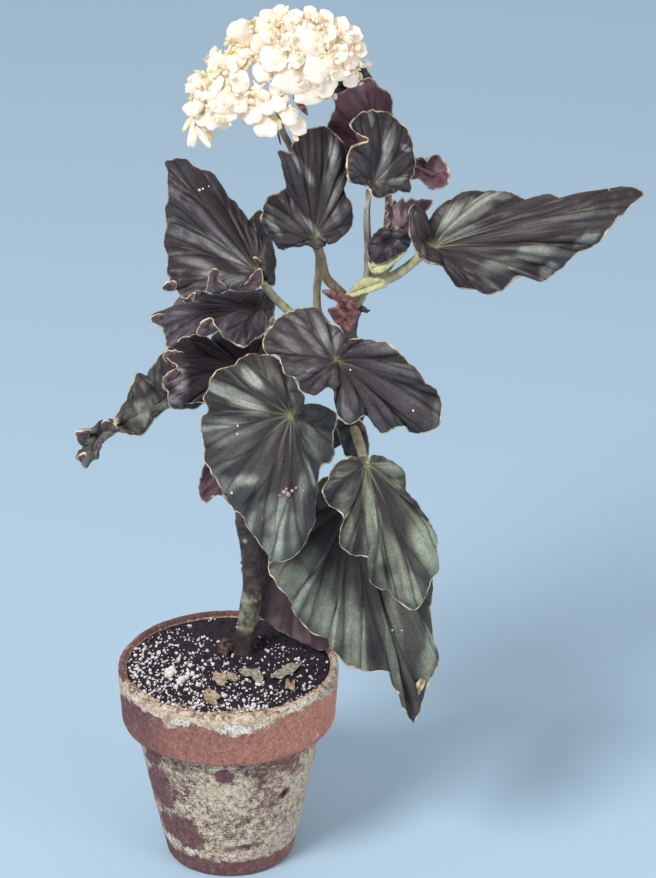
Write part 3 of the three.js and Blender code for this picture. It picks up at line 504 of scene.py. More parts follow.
finish = {
    "leafUpper": leafUpperFinish(),
    "leafUnder": leafUnderFinish(),
    "leafMargin": leafMarginFinish(),
    "stem": stemFinish(),
    "clay": clayFinish(),
}
stalks = {
    "stalk": ("fleshy pale green stalk", [(0.28, "#86815f"), (0.45, "#b7b48e"), (0.7, "#d3d0ae")]),
    "rosyStalk": ("fleshy rosy cream stalk", [(0.28, "#a58f80"), (0.45, "#dfcbb6"), (0.7, "#f3e6d6")]),
}
petals = {
    "petal": ("white begonia petal", [(0.3, "#f4ddc6"), (0.5, "#fee9d5"), (0.7, "#fff3e7")], 0.35),
    # the darker cream is partly the buds' own colour and partly painted shade for petals deep in the head
    "shadePetal": ("cream petal and bud", [(0.3, "#d6c598"), (0.5, "#ecdcbb"), (0.7, "#f9eccf")], 0.3),
    "stamen": ("yellow stamens", [(0.3, "#b9a65c"), (0.5, "#d9c98a"), (0.7, "#ece0b4")], 0.2),
}

# matt stuffs: name, grain scale, roughness, depth of the skin's unevenness, colour stops
crumbs = {
    # peat and grit: almost black, damp and dull
    "mix": ("damp peat potting mix", 480, 0.92, 0.0008,
            [(0.3, "#110c15"), (0.5, "#221826"), (0.72, "#3e2f3c")]),
    # the inner wall: peat stain, darkened further as painted shade in the pot's hollow
    "stained": ("peat-stained clay wall", 300, 0.93, 0.0004,
                [(0.3, "#2a1d1a"), (0.5, "#5a3a2f"), (0.7, "#94765c")]),
    # grit caked with lime along the pot's edge: tan with brown specks
    "crustGrit": ("limy grit", 380, 0.92, 0.0003,
                  [(0.33, "#6a5145"), (0.43, "#a08a74"), (0.55, "#c9b59c"), (0.7, "#e2d5c2")]),
    # expanded perlite: chalk-white, porous grains
    "perlite": ("expanded perlite", 900, 0.8, 0.0003,
                [(0.25, "#b5aeb2"), (0.5, "#ebe7e8"), (0.7, "#fdfcfd")]),
    "agedPerlite": ("dusty perlite", 900, 0.85, 0.0004,
                    [(0.3, "#a1958f"), (0.42, "#ded5ce"), (0.6, "#f7f2ed")]),
    # bits of faded petal that fell on the leaves: limp, pinkish brown
    "debris": ("faded fallen petal", 500, 0.85, 0.0003,
               [(0.3, "#8d7370"), (0.5, "#b59a94"), (0.7, "#d3bfb6")]),
    # dead leaf and bract bits: papery browns
    "tanScrap": ("dry tan leaf scrap", 620, 0.85, 0.0003,
                 [(0.33, "#5f4a3d"), (0.46, "#98836d"), (0.58, "#bfae92"), (0.72, "#ddd2b8")]),
    "greenScrap": ("faded green leaf scrap", 560, 0.8, 0.0003,
                   [(0.33, "#57524a"), (0.45, "#8b8b78"), (0.58, "#b0b39f"), (0.72, "#d2d3c3")]),
    "bract": ("papery red-brown bract", 330, 0.6, 0.0003,
              [(0.36, "#382428"), (0.5, "#6e4645"), (0.62, "#96695e"), (0.75, "#bd9683")]),
    "foot": ("corky old leaf base", 420, 0.85, 0.0006,
             [(0.35, "#2e2224"), (0.5, "#4f3c39"), (0.62, "#75605a"), (0.75, "#a8927c")]),
    # the stem's thin bracts: waxy and almost yellow
    "paleBract": ("pale waxy stipule", 420, 0.5, 0.0002,
                  [(0.3, "#a5a373"), (0.5, "#cbc996"), (0.7, "#e2dfba")]),
}
for make, table in ((stalkFinish, stalks), (petalFinish, petals), (crumbFinish, crumbs)):
    for key, about in table.items():
        finish[key] = make(*about)
print("finishes made:", len(finish))


# the clay pot
pot = {
    "height": 0.106,
    "baseRadius": 0.0322,
    "shoulderRadius": 0.0475,
    "shoulderHeight": 0.0765,
    "rimLowerRadius": 0.0534,
    "rimTopRadius": 0.055,
    "wall": 0.0042,
    "floor": 0.009,
    "floorRadius": 0.029,
    "round": 0.0016,
    "wear": 0.00025,  # unevenness of the fired wall
    "sides": 288,
    "step": 0.0011,  # between the wall's rings
    "holes": 3,
    "holeRadius": 0.005,
    "holeRing": 0.015,
    "frontDepth": 0.02,  # what lies nearer than this depth takes its spots from the lists below
    "backCrust": 0.094,  # height of the crust's edge on the far side
    "rubbedLip": (0.1032, 0.1052),  # the heights between which the bare lip begins
    "cleanFoot": (0.0075, 0.0125),
    # the crust's lower edge on the rim, read off as pixels
    "crustEdge": [(118, 690), (127, 700), (138, 708), (150, 713), (160, 720), (170, 727), (182, 728),
                  (195, 723), (207, 727), (220, 734), (237, 737), (252, 733), (262, 731), (275, 722),
                  (290, 714), (305, 708), (318, 700), (330, 688), (340, 680)],
    # where the clay shows on the body, with a long band under the rim that is painted shadow of the rim, its
    # darkest places, and the whitest salts, as ovals for patches
    "bareAndShadowSpots": [(161, 786, 22, 11, 62, 1.2), (182, 830, 27, 11, 38, 1.2), (224, 776, 9.5, 7, 0, 1.4),
                  (284, 793, 8, 3, -50, 0.9), (290, 765, 20, 9, 20, 0.4), (272, 800, 12, 8, -60, 0.2),
                  (152, 757, 10, 8, 50, 0.7), (255, 752, 60, 5, -3, 0.35), (250, 847, 22, 4, -8, 0.35),
                  (170, 806, 6, 3, 40, 0.4)],
    "darkSpots": [(284, 793, 7, 2.2, -52, 1.0), (262, 803, 4, 1.6, -60, 0.5), (240, 848, 9, 1.2, -8, 0.4),
                  (288, 757, 14, 5, 15, 0.2)],
    "saltSpots": [(133, 697, 12, 3, 38, 0.75), (158, 716, 8, 3, 20, 0.5), (181, 723, 16, 4.5, 8, 0.9),
                  (200, 718, 8, 3, -10, 0.5), (236, 730, 20, 6, 0, 0.85), (262, 727, 14, 4, -14, 0.6),
                  (300, 706, 26, 4, -28, 0.75), (326, 694, 12, 4, -35, 0.75), (317, 736, 3, 9, 0, 0.6),
                  (172, 838, 16, 3, 35, 0.7), (190, 850, 14, 3, 15, 0.7), (168, 812, 8, 4, 60, 0.5),
                  (298, 826, 22, 4, -62, 0.5), (240, 856, 26, 3, 0, 0.4), (172, 793, 6, 14, -10, 0.3)],
}


def potProfile():
    # the wall's outline from the middle of the underside, up the outside, over the lip, down the inside
    base, shoulder, ledge = pot["baseRadius"], pot["shoulderRadius"], pot["shoulderHeight"]
    lower, upper, top, r = pot["rimLowerRadius"], pot["rimTopRadius"], pot["height"], pot["round"]
    inner = upper - pot["wall"]
    line = np.array([
        (0.0, 0.0), (base - r, 0.0), (base, r), (shoulder, ledge - 0.0006), (shoulder + 0.0008, ledge),
        (lower - r, ledge), (lower - 0.0004, ledge + 0.0006), (lower, ledge + r),
        (upper - 0.0002, top - 2.2 * r), (upper - 0.0006, top - 0.8 * r), (upper - 1.1 * r, top - 0.0001),
        (inner + 0.5 * r, top), (inner, top - 0.9 * r), (inner - 0.0004, top - 2 * r),
        (shoulder - pot["wall"] + 0.0008, ledge), (pot["floorRadius"], pot["floor"]), (0.0, pot["floor"]),
    ])
    run = np.concatenate(([0], np.cumsum(np.linalg.norm(np.diff(line, axis=0), axis=1))))
    at = np.unique(np.concatenate((run, np.arange(0, run[-1], pot["step"]))))
    return np.stack([np.interp(at, run, line[:, k]) for k in (0, 1)], 1)


def holeTubes(radius, heights, **more):
    # an upright tube in each drain hole
    tubes = []
    for k in range(pot["holes"]):
        angle = 2 * np.pi * k / pot["holes"] + np.pi / 2
        centre = pot["holeRing"] * np.array((np.cos(angle), np.sin(angle), 0.0))
        tubes.append(tube(centre + np.array([[0, 0, z] for z in heights]), radius, **more))
    return joined(tubes)


def potMarks(points):
    # the seen side takes its crust, bare clay and salts from the spots above, the far side from smooth noise
    px, py = pixelOf(points)
    depth, height = points[:, 1], points[:, 2]
    front = depth < pot["frontDepth"]
    side = np.arctan2(points[:, 0], -depth)  # 0 in front, and + to the right
    onRim = height > pot["shoulderHeight"] - 0.0002
    # rim: the crust's edge wanders, and the lip is rubbed, most of all on the left
    crust, across = np.array(pot["crustEdge"]).T[::-1]
    jag = 2.2 * cloud(points, 0.0035, 7) + 2.5 * cloud(points, 0.008, 8) + 1.6 * cloud(points, 0.0016, 18)
    rimFront = ease(-2.5, 2.5, np.interp(px, across, crust) + jag - py)
    rimBack = ease(-0.002, 0.002, height - pot["backCrust"] - 0.004 * cloud(points, 0.02, 6))
    behind = ease(-0.005, 0.03, depth + 0.008 * cloud(points, 0.012, 17))
    worn = ease(0.1035, 0.1045, height) * ease(0.012, 0.03, depth)  # the far lip is bare and dark
    lip = ease(*pot["rubbedLip"], height)
    rubbed = lip * (0.3 + 0.5 * ease(0.7, 1.5, -side) + 0.25 * cloud(points, 0.004, 19))
    limeRim = (rimFront + (rimBack - rimFront) * behind) * (1 - worn) * (1 - np.clip(rubbed, 0, 1))
    # body: limed all over but for its foot and the bare spots, which are broken up at the sides; one of these
    # spots is a band of painted shadow under the rim
    foot = ease(*pot["cleanFoot"], height - 0.001 * cloud(points, 0.006, 9))
    # less lime just under the rim: painted shade of the rim's overhang
    body = 0.7 - 0.2 * ease(0.058, 0.074, height)
    body = body + 0.26 * cloud(points, 0.02, 10) + 0.12 * cloud(points, 0.006, 11)
    right, down = 2 * cloud(points, 0.006, 12), 2 * cloud(points, 0.006, 13)
    bare = patches(px + right, py + down, pot["bareAndShadowSpots"]) * front
    bare = bare * (1 - ease(1.05, 1.4, np.abs(side)) * ease(-0.1, 0.3, cloud(points, 0.011, 20)))
    bareBack = 0.7 * ease(0.3, 0.6, cloud(points, 0.016, 14)) * ~front
    limeBody = np.clip(foot * body - bare - bareBack, 0, 1)
    saltBack = 0.5 * ease(0.3, 0.6, cloud(points, 0.015, 15)) * limeRim
    # damp clay, plus painted shade: the sine of the side makes the left darker
    damp = 0.48 - 0.54 * np.sin(side - 0.35) * np.where(front, 1, 0.6) + 0.25 * cloud(points, 0.025, 16)
    damp = np.clip(damp, 0, 1)
    dampAndShadeRim = np.maximum(damp, np.maximum(worn, 0.85 * lip))
    return {
        "lime": np.where(onRim, limeRim, limeBody),
        "salt": np.where(front, patches(px, py, pot["saltSpots"]), saltBack),
        "damp": np.where(onRim, dampAndShadeRim, np.clip(damp + 0.5, 0, 1)),
        "stain": patches(px, py, pot["darkSpots"]) * front,
    }


def makePot():
    # each profile point (radius, height) turned round the axis: (r cos t, r sin t, h), plus a little wear
    profile = potProfile()
    turn = fullTurn(pot["sides"])
    radius, height = profile[1:-1, 0][:, None], profile[1:-1, 1][:, None]
    rings = np.stack((radius * np.cos(turn), radius * np.sin(turn), height + 0 * turn), -1)
    outward = np.stack((np.cos(turn), np.sin(turn), 0 * turn), -1)[None]
    wear = pot["wear"] * (cloud(rings, 0.012, 3) + 0.5 * cloud(rings, 0.004, 4))
    chips = 0.0002 * ease(0.1, 0.104, height) * (cloud(rings, 0.003, 5) > 0.25)
    rings = rings + (wear - chips)[..., None] * outward
    rings[..., 2] += np.where((height > 0.1), 0.6 * wear, 0)
    shell = ringShell(rings, np.array((0, 0, 0.0)), np.array((0, 0, pot["floor"])))
    shell["marks"] = potMarks(shell["points"])
    # inside, from just under the lip, the wall is stained by peat and darkened further as painted shade in
    # the hollow
    row = np.repeat(np.arange(len(profile) - 3), pot["sides"])
    inside = (row > profile[:, 1].argmax()) & (profile[1 + row, 1] < pot["height"] - 0.0018)
    shell["quadFinish"] = np.where(inside, 1, 0)
    shell["triFinish"][pot["sides"] :] = 1
    piece = makePiece("limed_pot", shell, ["clay", "stained"], ["clay_pot"])
    drill = holeTubes(pot["holeRadius"], (-0.004, 0.004, 0.014), sides=32)
    mesh = bpy.data.meshes.new("drill")
    mesh.from_pydata(drill["points"].tolist(), [], drill["quads"].tolist() + drill["tris"].tolist())
    cutter = addObject("drill", mesh)
    cut = piece.modifiers.new("drain holes", "BOOLEAN")
    cut.operation, cut.solver, cut.object = "DIFFERENCE", "EXACT", cutter
    whole = bpy.data.meshes.new_from_object(piece.evaluated_get(bpy.context.evaluated_depsgraph_get()))
    piece.modifiers.clear()
    piece.data = whole
    bpy.data.objects.remove(cutter)


makePot()
print("pot made")

# the potting mix and what lies on it
soil = {
    "edgeHeight": 0.104,
    "crownHeight": 0.105,
    "edgeRadius": 0.0501,
    "lump": 0.0009,
    "wallProfile": [(0.0486, 0.0985), (0.0435, 0.0762), (0.0286, 0.0095), (0.0130, 0.0094)],  # radius, height
    "below": 0.0006,  # the lumps start this much under the crown
    "sides": 220,
    "rings": 60,
    "plugRadius": 0.00465,
    "plugHeights": (0.0028, 0.0055, 0.0098),
    "scatterRadius": 0.0494,
    "stemFoot": (0.0085, 0.013, 0.0062),  # x, y and the radius that stays clear
    "grains": 1150,
    "crumbs": 900,
    "crustGrit": 900,
    "crustReach": 0.0502,
    "crustWidth": 0.0052,
}


def soilHeight(x, y):
    # a low crown, with lumps of 6 mm and 2.5 mm on it
    reach = np.hypot(x, y) / soil["edgeRadius"]
    crown = soil["edgeHeight"] + (soil["crownHeight"] - soil["edgeHeight"]) * (1 - ease(0.5, 1.0, reach))
    lumps = 0.6 * cloudOn(x, y, 0.006, 21) + 0.5 * cloudOn(x, y, 0.0025, 22)
    return crown + soil["lump"] * lumps - soil["below"]


def makeSoil():
    # rings from the middle of the top out to the wall, down inside it and back to the middle of the floor
    turn = fullTurn(soil["sides"])
    inward = np.linspace(0.02, 1, soil["rings"])[:, None] * soil["edgeRadius"]
    x, y = inward * np.cos(turn), inward * np.sin(turn)
    top = np.stack((x, y, soilHeight(x, y)), -1)
    wall = [np.stack((r * np.cos(turn), r * np.sin(turn), z + 0 * turn), -1) for r, z in soil["wallProfile"]]
    rings = np.concatenate((top, np.array(wall)))[::-1]
    bottom = soil["wallProfile"][-1][1]
    body = ringShell(rings, np.array((0, 0, bottom)), np.array((0, 0, float(soilHeight(0.0, 0.0)))))
    plugs = holeTubes(soil["plugRadius"], soil["plugHeights"], sides=24, lumps=0.0002, lumpSize=0.002, seed=5)
    makePiece("peat_mix", joined([body, plugs]), ["mix"], ["potting_mix"])


def twentySided():
    # an icosahedron: corners (0, 1, golden) in cyclic order and every sign, faces of three near corners
    golden = (1 + 5**0.5) / 2
    signs = [(a, b * golden) for a in (-1, 1) for b in (-1, 1)]
    corners = [(a, b, 0) for a, b in signs] + [(0, a, b) for a, b in signs] + [(b, 0, a) for a, b in signs]
    corners = unit(np.array(corners, float))
    near = np.linalg.norm(corners[:, None] - corners[None], axis=-1) < 1.1
    triples = [(i, j, k) for i in range(12) for j in range(i) for k in range(j)]
    faces = np.array([(i, j, k) for i, j, k in triples if near[i, j] and near[j, k] and near[i, k]])
    first, second, third = (corners[faces[:, k]] for k in range(3))
    inward = (np.cross(second - first, third - first) * first).sum(1) < 0
    faces[inward] = faces[inward][:, ::-1]
    return corners, faces


grainCorners, grainFaces = twentySided()


def grains(centres, sizes, squash, seed):
    # twenty-sided grains: each corner pushed in or out at random, turned at random, and set at its centre
    random = np.random.default_rng(seed)
    count = len(centres)
    corners = grainCorners[None] * random.uniform(0.72, 1.2, (count, 12, 1))
    widths = np.concatenate((random.uniform(0.75, 1.25, (count, 2)), np.full((count, 1), squash)), 1)
    corners = corners * widths[:, None]
    # a random turn, as the matrix of a random unit quaternion
    w, x, y, z = unit(random.normal(size=(count, 4))).T
    rows = [
        (1 - 2 * (y * y + z * z), 2 * (x * y - w * z), 2 * (x * z + w * y)),
        (2 * (x * y + w * z), 1 - 2 * (x * x + z * z), 2 * (y * z - w * x)),
        (2 * (x * z - w * y), 2 * (y * z + w * x), 1 - 2 * (x * x + y * y)),
    ]
    points = np.einsum("nij,nkj->nki", np.array(rows).transpose(2, 0, 1), corners)
    points = points * sizes[:, None, None] + centres[:, None]
    tris = (grainFaces[None] + 12 * np.arange(count)[:, None, None]).reshape(-1, 3)
    return newShell(points.reshape(-1, 3), np.zeros((0, 4), int), tris)


def scatter(count, lowSize, highSize, sink, seed, bias):
    # even random places on the mix, kept more often at the left and front, with sizes skewed to the small
    random = np.random.default_rng(seed)
    reach = soil["scatterRadius"] * np.sqrt(random.uniform(0, 1, 4 * count))
    turn = random.uniform(0, 2 * np.pi, 4 * count)
    x, y = reach * np.cos(turn), reach * np.sin(turn)
    chance = 0.52 - bias * (x + y) / 0.047 * 0.5 + 0.4 * cloudOn(x, y, 0.012, 31)
    keep = random.uniform(0, 1, 4 * count) < chance
    stemX, stemY, clear = soil["stemFoot"]
    keep = keep & (np.hypot(x - stemX, y - stemY) > clear)
    x, y = x[keep][:count], y[keep][:count]
    sizes = lowSize + (highSize - lowSize) * random.uniform(0, 1, len(x)) ** 2.6
    return np.stack((x, y, soilHeight(x, y) + sink * sizes), -1), sizes


def makeCrustGrit():
    # limy grit in a crescent along the front wall: reach R - w cos(1.2 t) u, at t to each side of the front
    random = np.random.default_rng(45)
    turn = random.normal(-0.1, 0.55, soil["crustGrit"])
    turn = turn[np.abs(turn) < 1.25]
    inward = random.uniform(0, 1, len(turn)) ** 1.3
    width = soil["crustWidth"] * np.cos(1.2 * turn) * (1 + 0.4 * np.sin(9 * turn))
    reach = soil["crustReach"] - width * inward
    x, y = reach * np.sin(turn), -reach * np.cos(turn)
    size = random.uniform(0.0003, 0.0008, len(turn))
    centres = np.stack((x, y, soilHeight(x, y) + 0.3 * size), -1)
    grit = grains(centres, size, squash=0.7, seed=46)
    makePiece("crust_grit", grit, ["crustGrit"], smooth=False)


makeSoil()
perlite = scatter(soil["grains"], lowSize=0.00038, highSize=0.00112, sink=0.35, seed=41, bias=1)
perlite = grains(*perlite, squash=0.8, seed=42)
makePiece("perlite_grains", perlite, ["perlite"], smooth=False)
peat = scatter(soil["crumbs"], lowSize=0.0005, highSize=0.0014, sink=0.1, seed=43, bias=0)
makePiece("peat_crumbs", grains(*peat, squash=0.6, seed=44), ["mix"], smooth=False)
makeCrustGrit()

# loose clumps of perlite: the solid each replaces, and its balls as [px, py, radius in mm]
clumps = {
    "white_clump_left": ("perlite_clump_1",
                         [(168, 670, 1.9), (172, 668, 1.7), (170, 673, 2), (174, 671, 1.3), (166, 674, 1.1)]),
    "white_clump_right": ("perlite_clump_2",
                          [(182, 678, 1.9), (186, 676, 1.4), (179, 681, 1.2), (188, 673, 1.2)]),
}
for number, (name, (node, spots)) in enumerate(clumps.items()):
    balls = []
    for k, (px, py, size) in enumerate(spots):
        centre = seenAt(px, py, soil["crownHeight"] + 0.6 * size * mm)
        centre[2] = soilHeight(centre[0], centre[1]) + 0.6 * size * mm
        balls.append(lump(centre, size * mm, 50 + 7 * k + number))
    makePiece(name, joined(balls), ["agedPerlite"], [node])
print("potting mix made")

# blades: leaves, bracts and edges that turn up share one surface
leafLook = {
    "thickness": 0.0009,
    "marginWidth": 1.35,  # pixels
    "tuck": 0.05,  # the sheet ends this many pixels inside its outline
    "crimp": 1.1,  # small waves of the outline, in pixels, and their size
    "crimpSize": 5.0,
    "harmonics": 5,  # so many waves of the margin reach in to the heart
    "pleat": 0.0022,
    "buckle": 1.2,  # mm
    "frill": 1.3,  # mm
    "fork": 0.27,  # how far the two arms of a vein part, in spaces between veins
    "veinWidth": 0.0005,
    "grooveWidth": 0.0007,
    "heartSize": 0.0017,
    "bloomAndSheenBase": 0.105,
    "spokes": 300,
    "rows": 46,
}
# what a blade has unless it says otherwise
plainBlade = {
    "lean": (0, 0), "turned": False, "seed": 1, "veinCount": 9, "veinStrength": 0.15, "lip": 1, "sheen": 1,
    "plum": 0.5, "edge": 0.8, "dusk": 0.3, "bloom": [], "flaps": [], "tears": [], "flecks": [], "flush": 0.2,
    "stalkFinish": "stalk",
}


def marginLoop(blade, spokes, look):
    # a smooth loop through the margin, crimped to and from the heart, one way round for a turned blade
    hx, hy, _ = blade["heart"]
    edge = smoothPath(blade["margin"], spokes, closed=True)
    crimp = look["crimp"] * cloudOn(edge[:, 0], edge[:, 1], look["crimpSize"], blade["seed"])
    span = edge[:, :2] - (hx, hy)
    length = np.maximum(np.linalg.norm(span, axis=1), 1.0)
    edge[:, :2] += span / length[:, None] * crimp[:, None]
    beyond = np.roll(edge, -1, 0)
    area = (edge[:, 0] * beyond[:, 1] - edge[:, 1] * beyond[:, 0]).sum()
    return edge[::-1] if (area > 0) == blade["turned"] else edge


def veinRun(blade, edge):
    # along the margin, one unit from each main vein to the next: between the given tips, or else even
    spokes = len(edge)
    if "veins" not in blade:
        return blade["veinCount"] * np.arange(spokes) / spokes + 0.3
    at = np.sort([np.argmin(np.linalg.norm(edge[:, :2] - tip, axis=1)) for tip in blade["veins"]])
    around = np.concatenate((at[-1:] - spokes, at, at[:1] + spokes))
    return np.interp(np.arange(spokes), around, np.arange(-1, len(at) + 1))


def bladeGrid(blade, spokes, rows, look):
    # from the heart to the margin: heart + share (margin - heart), plus a belly 4 dome share (1 - share),
    # pleats |sin| between the veins and a ruffle that grows towards the margin
    hx, hy, depth = blade["heart"]
    leanRight, leanDown = blade["lean"]
    seed = blade["seed"]
    edge = marginLoop(blade, spokes, look)
    # each spoke starts from the nearest point of the spine, which is just the heart in most blades
    spine = np.array(blade.get("spine", (hx, hy)), float) - (hx, hy)
    place = np.clip((edge[:, :2] - (hx, hy)) @ spine / max(spine @ spine, 1e-9), 0, 1)
    root = (hx, hy) + place[:, None] * spine
    span = edge[:, :2] - root
    length = np.maximum(np.linalg.norm(span, axis=1), 1.0)
    waves = np.fft.rfft(edge[:, 2])
    waves[look["harmonics"] :] = 0
    smoothOut = np.fft.irfft(waves, spokes)
    # the last two rows bound the cream margin
    lip = look["marginWidth"] * blade["lip"] * (0.75 + 0.5 * cloudOn(edge[:, 0], edge[:, 1], 9, 4, 9))
    lip = np.minimum(lip / length, 0.3)
    share = np.linspace(0, 1, rows)[1:, None] ** 0.8 * (1 - lip)
    share = np.vstack((share, (1 - 0.45 * lip)[None], np.ones((1, spokes))))
    ruffled = ease(0.3, 1.0, share)
    reach = share * (1 - look["tuck"] / length)
    flat = root + reach[..., None] * span
    near = np.concatenate((flat, 0 * share[..., None]), -1)
    out = reach * ((1 - ruffled) * smoothOut + ruffled * edge[:, 2])
    out = out + look["buckle"] * ease(0.1, 0.6, share) * cloud(near, 26, seed + 2)
    out = out + look["frill"] * ruffled**3 * cloud(near, 9, seed + 3)
    lean = leanRight * (flat[..., 0] - hx) + leanDown * (flat[..., 1] - hy)
    points = sight(flat[..., 0], flat[..., 1], (depth - out) * mm - lean * pixel)
    heart = sight(hx, hy, depth * mm)
    facing = unit(np.cross(np.roll(points[-1], -1, 0) - heart, points[-1] - heart).sum(0))
    points = points + (4 * blade["dome"] * mm * share * (1 - share))[..., None] * facing
    across = np.roll(points, -1, 1) - np.roll(points, 1, 1)
    normal = unit(unit(np.cross(across, np.gradient(points, axis=0))) + 0.25 * facing)
    # how far each point is from a vein: the veins wander a little, and fork on their way out
    s = veinRun(blade, edge)
    wobble = s + 0.12 * cloud(near, 40, seed + 5) * ease(0.1, 0.5, share)
    fork = look["fork"] * ease(0.35, 1.0, share) * (share > 0.35)
    off = np.abs(np.abs(wobble - np.round(wobble)) - fork)
    step = np.abs(np.roll(s, -1) - np.roll(s, 1)) % (s.max() + 1)
    spacing = np.minimum(np.linalg.norm(across, axis=-1) / np.maximum(step, 1e-3), 0.05)
    beside = wobble - np.floor(wobble)
    panel = np.sin(np.pi * beside) ** 0.75 - 0.5
    small = np.sin(np.pi * np.clip(off / look["fork"], 0, 1)) * ease(0.4, 0.8, share) * 0.35
    lift = look["pleat"] * np.minimum(spacing / 0.02, 1.3) * ease(0.03, 0.3, share)
    lift = lift * (1 - 0.55 * ease(0.8, 1, share))
    points = points + (lift * (panel + small))[..., None] * normal
    veins = {"s": s, "beside": beside, "off": off * spacing}
    grid = {"points": points, "heart": heart, "normal": normal, "facing": facing, "flat": flat}
    grid["marks"] = bladeMarks(blade, look, share, near, veins)
    return grid


def bladeMarks(blade, look, share, near, veins):
    # what the finishes read at each point: veins, grooves that take painted shade, heart, bloom that is
    # partly painted sheen, and the leaf's own tones
    hx, hy, _ = blade["heart"]
    strength = blade["veinStrength"]
    width = look["veinWidth"] * (1.25 - share)
    vein = strength * np.exp(-((veins["off"] / width) ** 2)) * (1 - 0.95 * ease(0.03, 0.42, share))
    groove = np.exp(-((veins["off"] / look["grooveWidth"]) ** 2)) * ease(0.1, 0.6, share)
    fromHeart = np.linalg.norm(near[..., :2] - (hx, hy), axis=-1) * pixel
    # painted light: the sheen is painted brightest just past a vein and fades to the next
    lit = 1.15 * (1 - veins["beside"]) ** 1.2 * ease(0, 0.1, veins["beside"])
    # painted satin sheen in streaks: noise drawn out from the heart to the margin, nine to each main vein
    streak = cloudOn(9 * veins["s"], 2.2 * share, 1.0, blade["seed"] + 9)
    torn = 2.0 * cloud(near, 9, 6)  # the sheen breaks up along a wandering edge
    bloom = patches(near[..., 0] + torn, near[..., 1] + torn, blade["bloom"])
    bloom = bloom * (0.3 + 0.95 * lit) * (1 + 0.6 * streak)
    base = look["bloomAndSheenBase"] * blade["sheen"] * (1 + 0.7 * streak)
    bloom = bloom + base * ease(0.1, 0.8, share) * (0.2 + 1.1 * lit) * (1 + cloud(near, 30, 8))
    marks = {"vein": vein, "groove": groove, "bloom": np.clip(bloom, 0, 1)}
    marks["heart"] = np.exp(-((fromHeart / look["heartSize"]) ** 2)) * min(1, 1.3 * strength)
    for tone in ("plum", "edge", "dusk"):
        marks[tone] = np.full_like(vein, blade[tone])
    return marks


def bladeShell(blade, spokes, rows, look):
    # the grid with a skin on each side, half the thickness along its normal each way, joined round a rim
    grid = bladeGrid({**plainBlade, **blade}, spokes, rows, look)
    points, heart, normal = grid["points"], grid["heart"], grid["normal"]
    half = look["thickness"] / 2 * np.linspace(1.3, 0.6, len(points))[:, None, None]
    rim = points[-1:] + 0.3 * half[-1:] * unit(points[-1:] - points[-2:-1])
    rings = np.concatenate((points + half * normal, rim, (points - half * normal)[::-1]))
    every = {}
    for name, values in grid["marks"].items():
        start = values[0].mean() if name != "heart" else values[0].max()
        every[name] = np.concatenate(([start], values.ravel(), values[-1], values[::-1].ravel(), [start]))
    middle = half[0, 0] * grid["facing"]
    shell = ringShell(rings, heart + middle, heart - middle, every)
    # finishes: 0 on the upper side, 1 on the underside, 2 round the margin
    count = len(points)
    row = np.repeat(np.arange(len(rings) - 1), spokes)
    shell["quadFinish"] = np.where(row < count - 3, 0, np.where(row > count + 2, 1, 2))
    shell["triFinish"] = np.repeat([0, 1], spokes)
    return shell, grid


flapLook = {
    **leafLook, "thickness": 0.0006, "marginWidth": 1.3, "crimp": 0.9, "crimpSize": 3.5, "pleat": 0.0003,
    "buckle": 0.2, "frill": 0.3, "heartSize": 0.0001, "gap": 1.6, "wave": 1.2,
}


def flapShell(outline, leafGrid, seed):
    # an edge turned up over the blade: a small blade with the underside out, a gap in mm before the margin
    px, py = np.array(outline, float).T
    rim = leafGrid["flat"][-1]
    near = np.hypot(rim[:, :1] - px, rim[:, 1:] - py).argmin(0)
    depth = leafGrid["points"][-1][near, 1].mean() / mm - flapLook["gap"]
    margin = [(x, y, flapLook["wave"] * math.sin(2.1 * k + seed)) for k, (x, y) in enumerate(outline)]
    flap = {"heart": (px.mean(), py.mean(), depth), "margin": margin, "dome": 1.2, "seed": seed}
    # painted shade: a plum value past one half darkens the turned-out underside
    flap |= {"veinCount": 4, "veinStrength": 0.0, "plum": 0.93, "edge": 1.0}
    shell, _ = bladeShell(flap, 72, 12, flapLook)
    shell["quadFinish"] = np.maximum(shell["quadFinish"], 1)
    shell["triFinish"][:] = 1
    return shell


def fleckShell(fleck, leafGrid, seed):
    # a grain or a bit of fallen petal that lies on a blade, at the point that shows nearest to its pixel
    kind, px, py, size = fleck
    flat = leafGrid["flat"]
    at = np.unravel_index(np.hypot(flat[..., 0] - px, flat[..., 1] - py).argmin(), flat.shape[:2])
    centre = leafGrid["points"][at] + (0.45 + 0.3 * size) * mm * leafGrid["normal"][at]
    ball = lump(centre, size * mm, 20 + seed, rows=6, sides=10)
    return inFinish(ball, 3 if kind == "perlite" else 4)


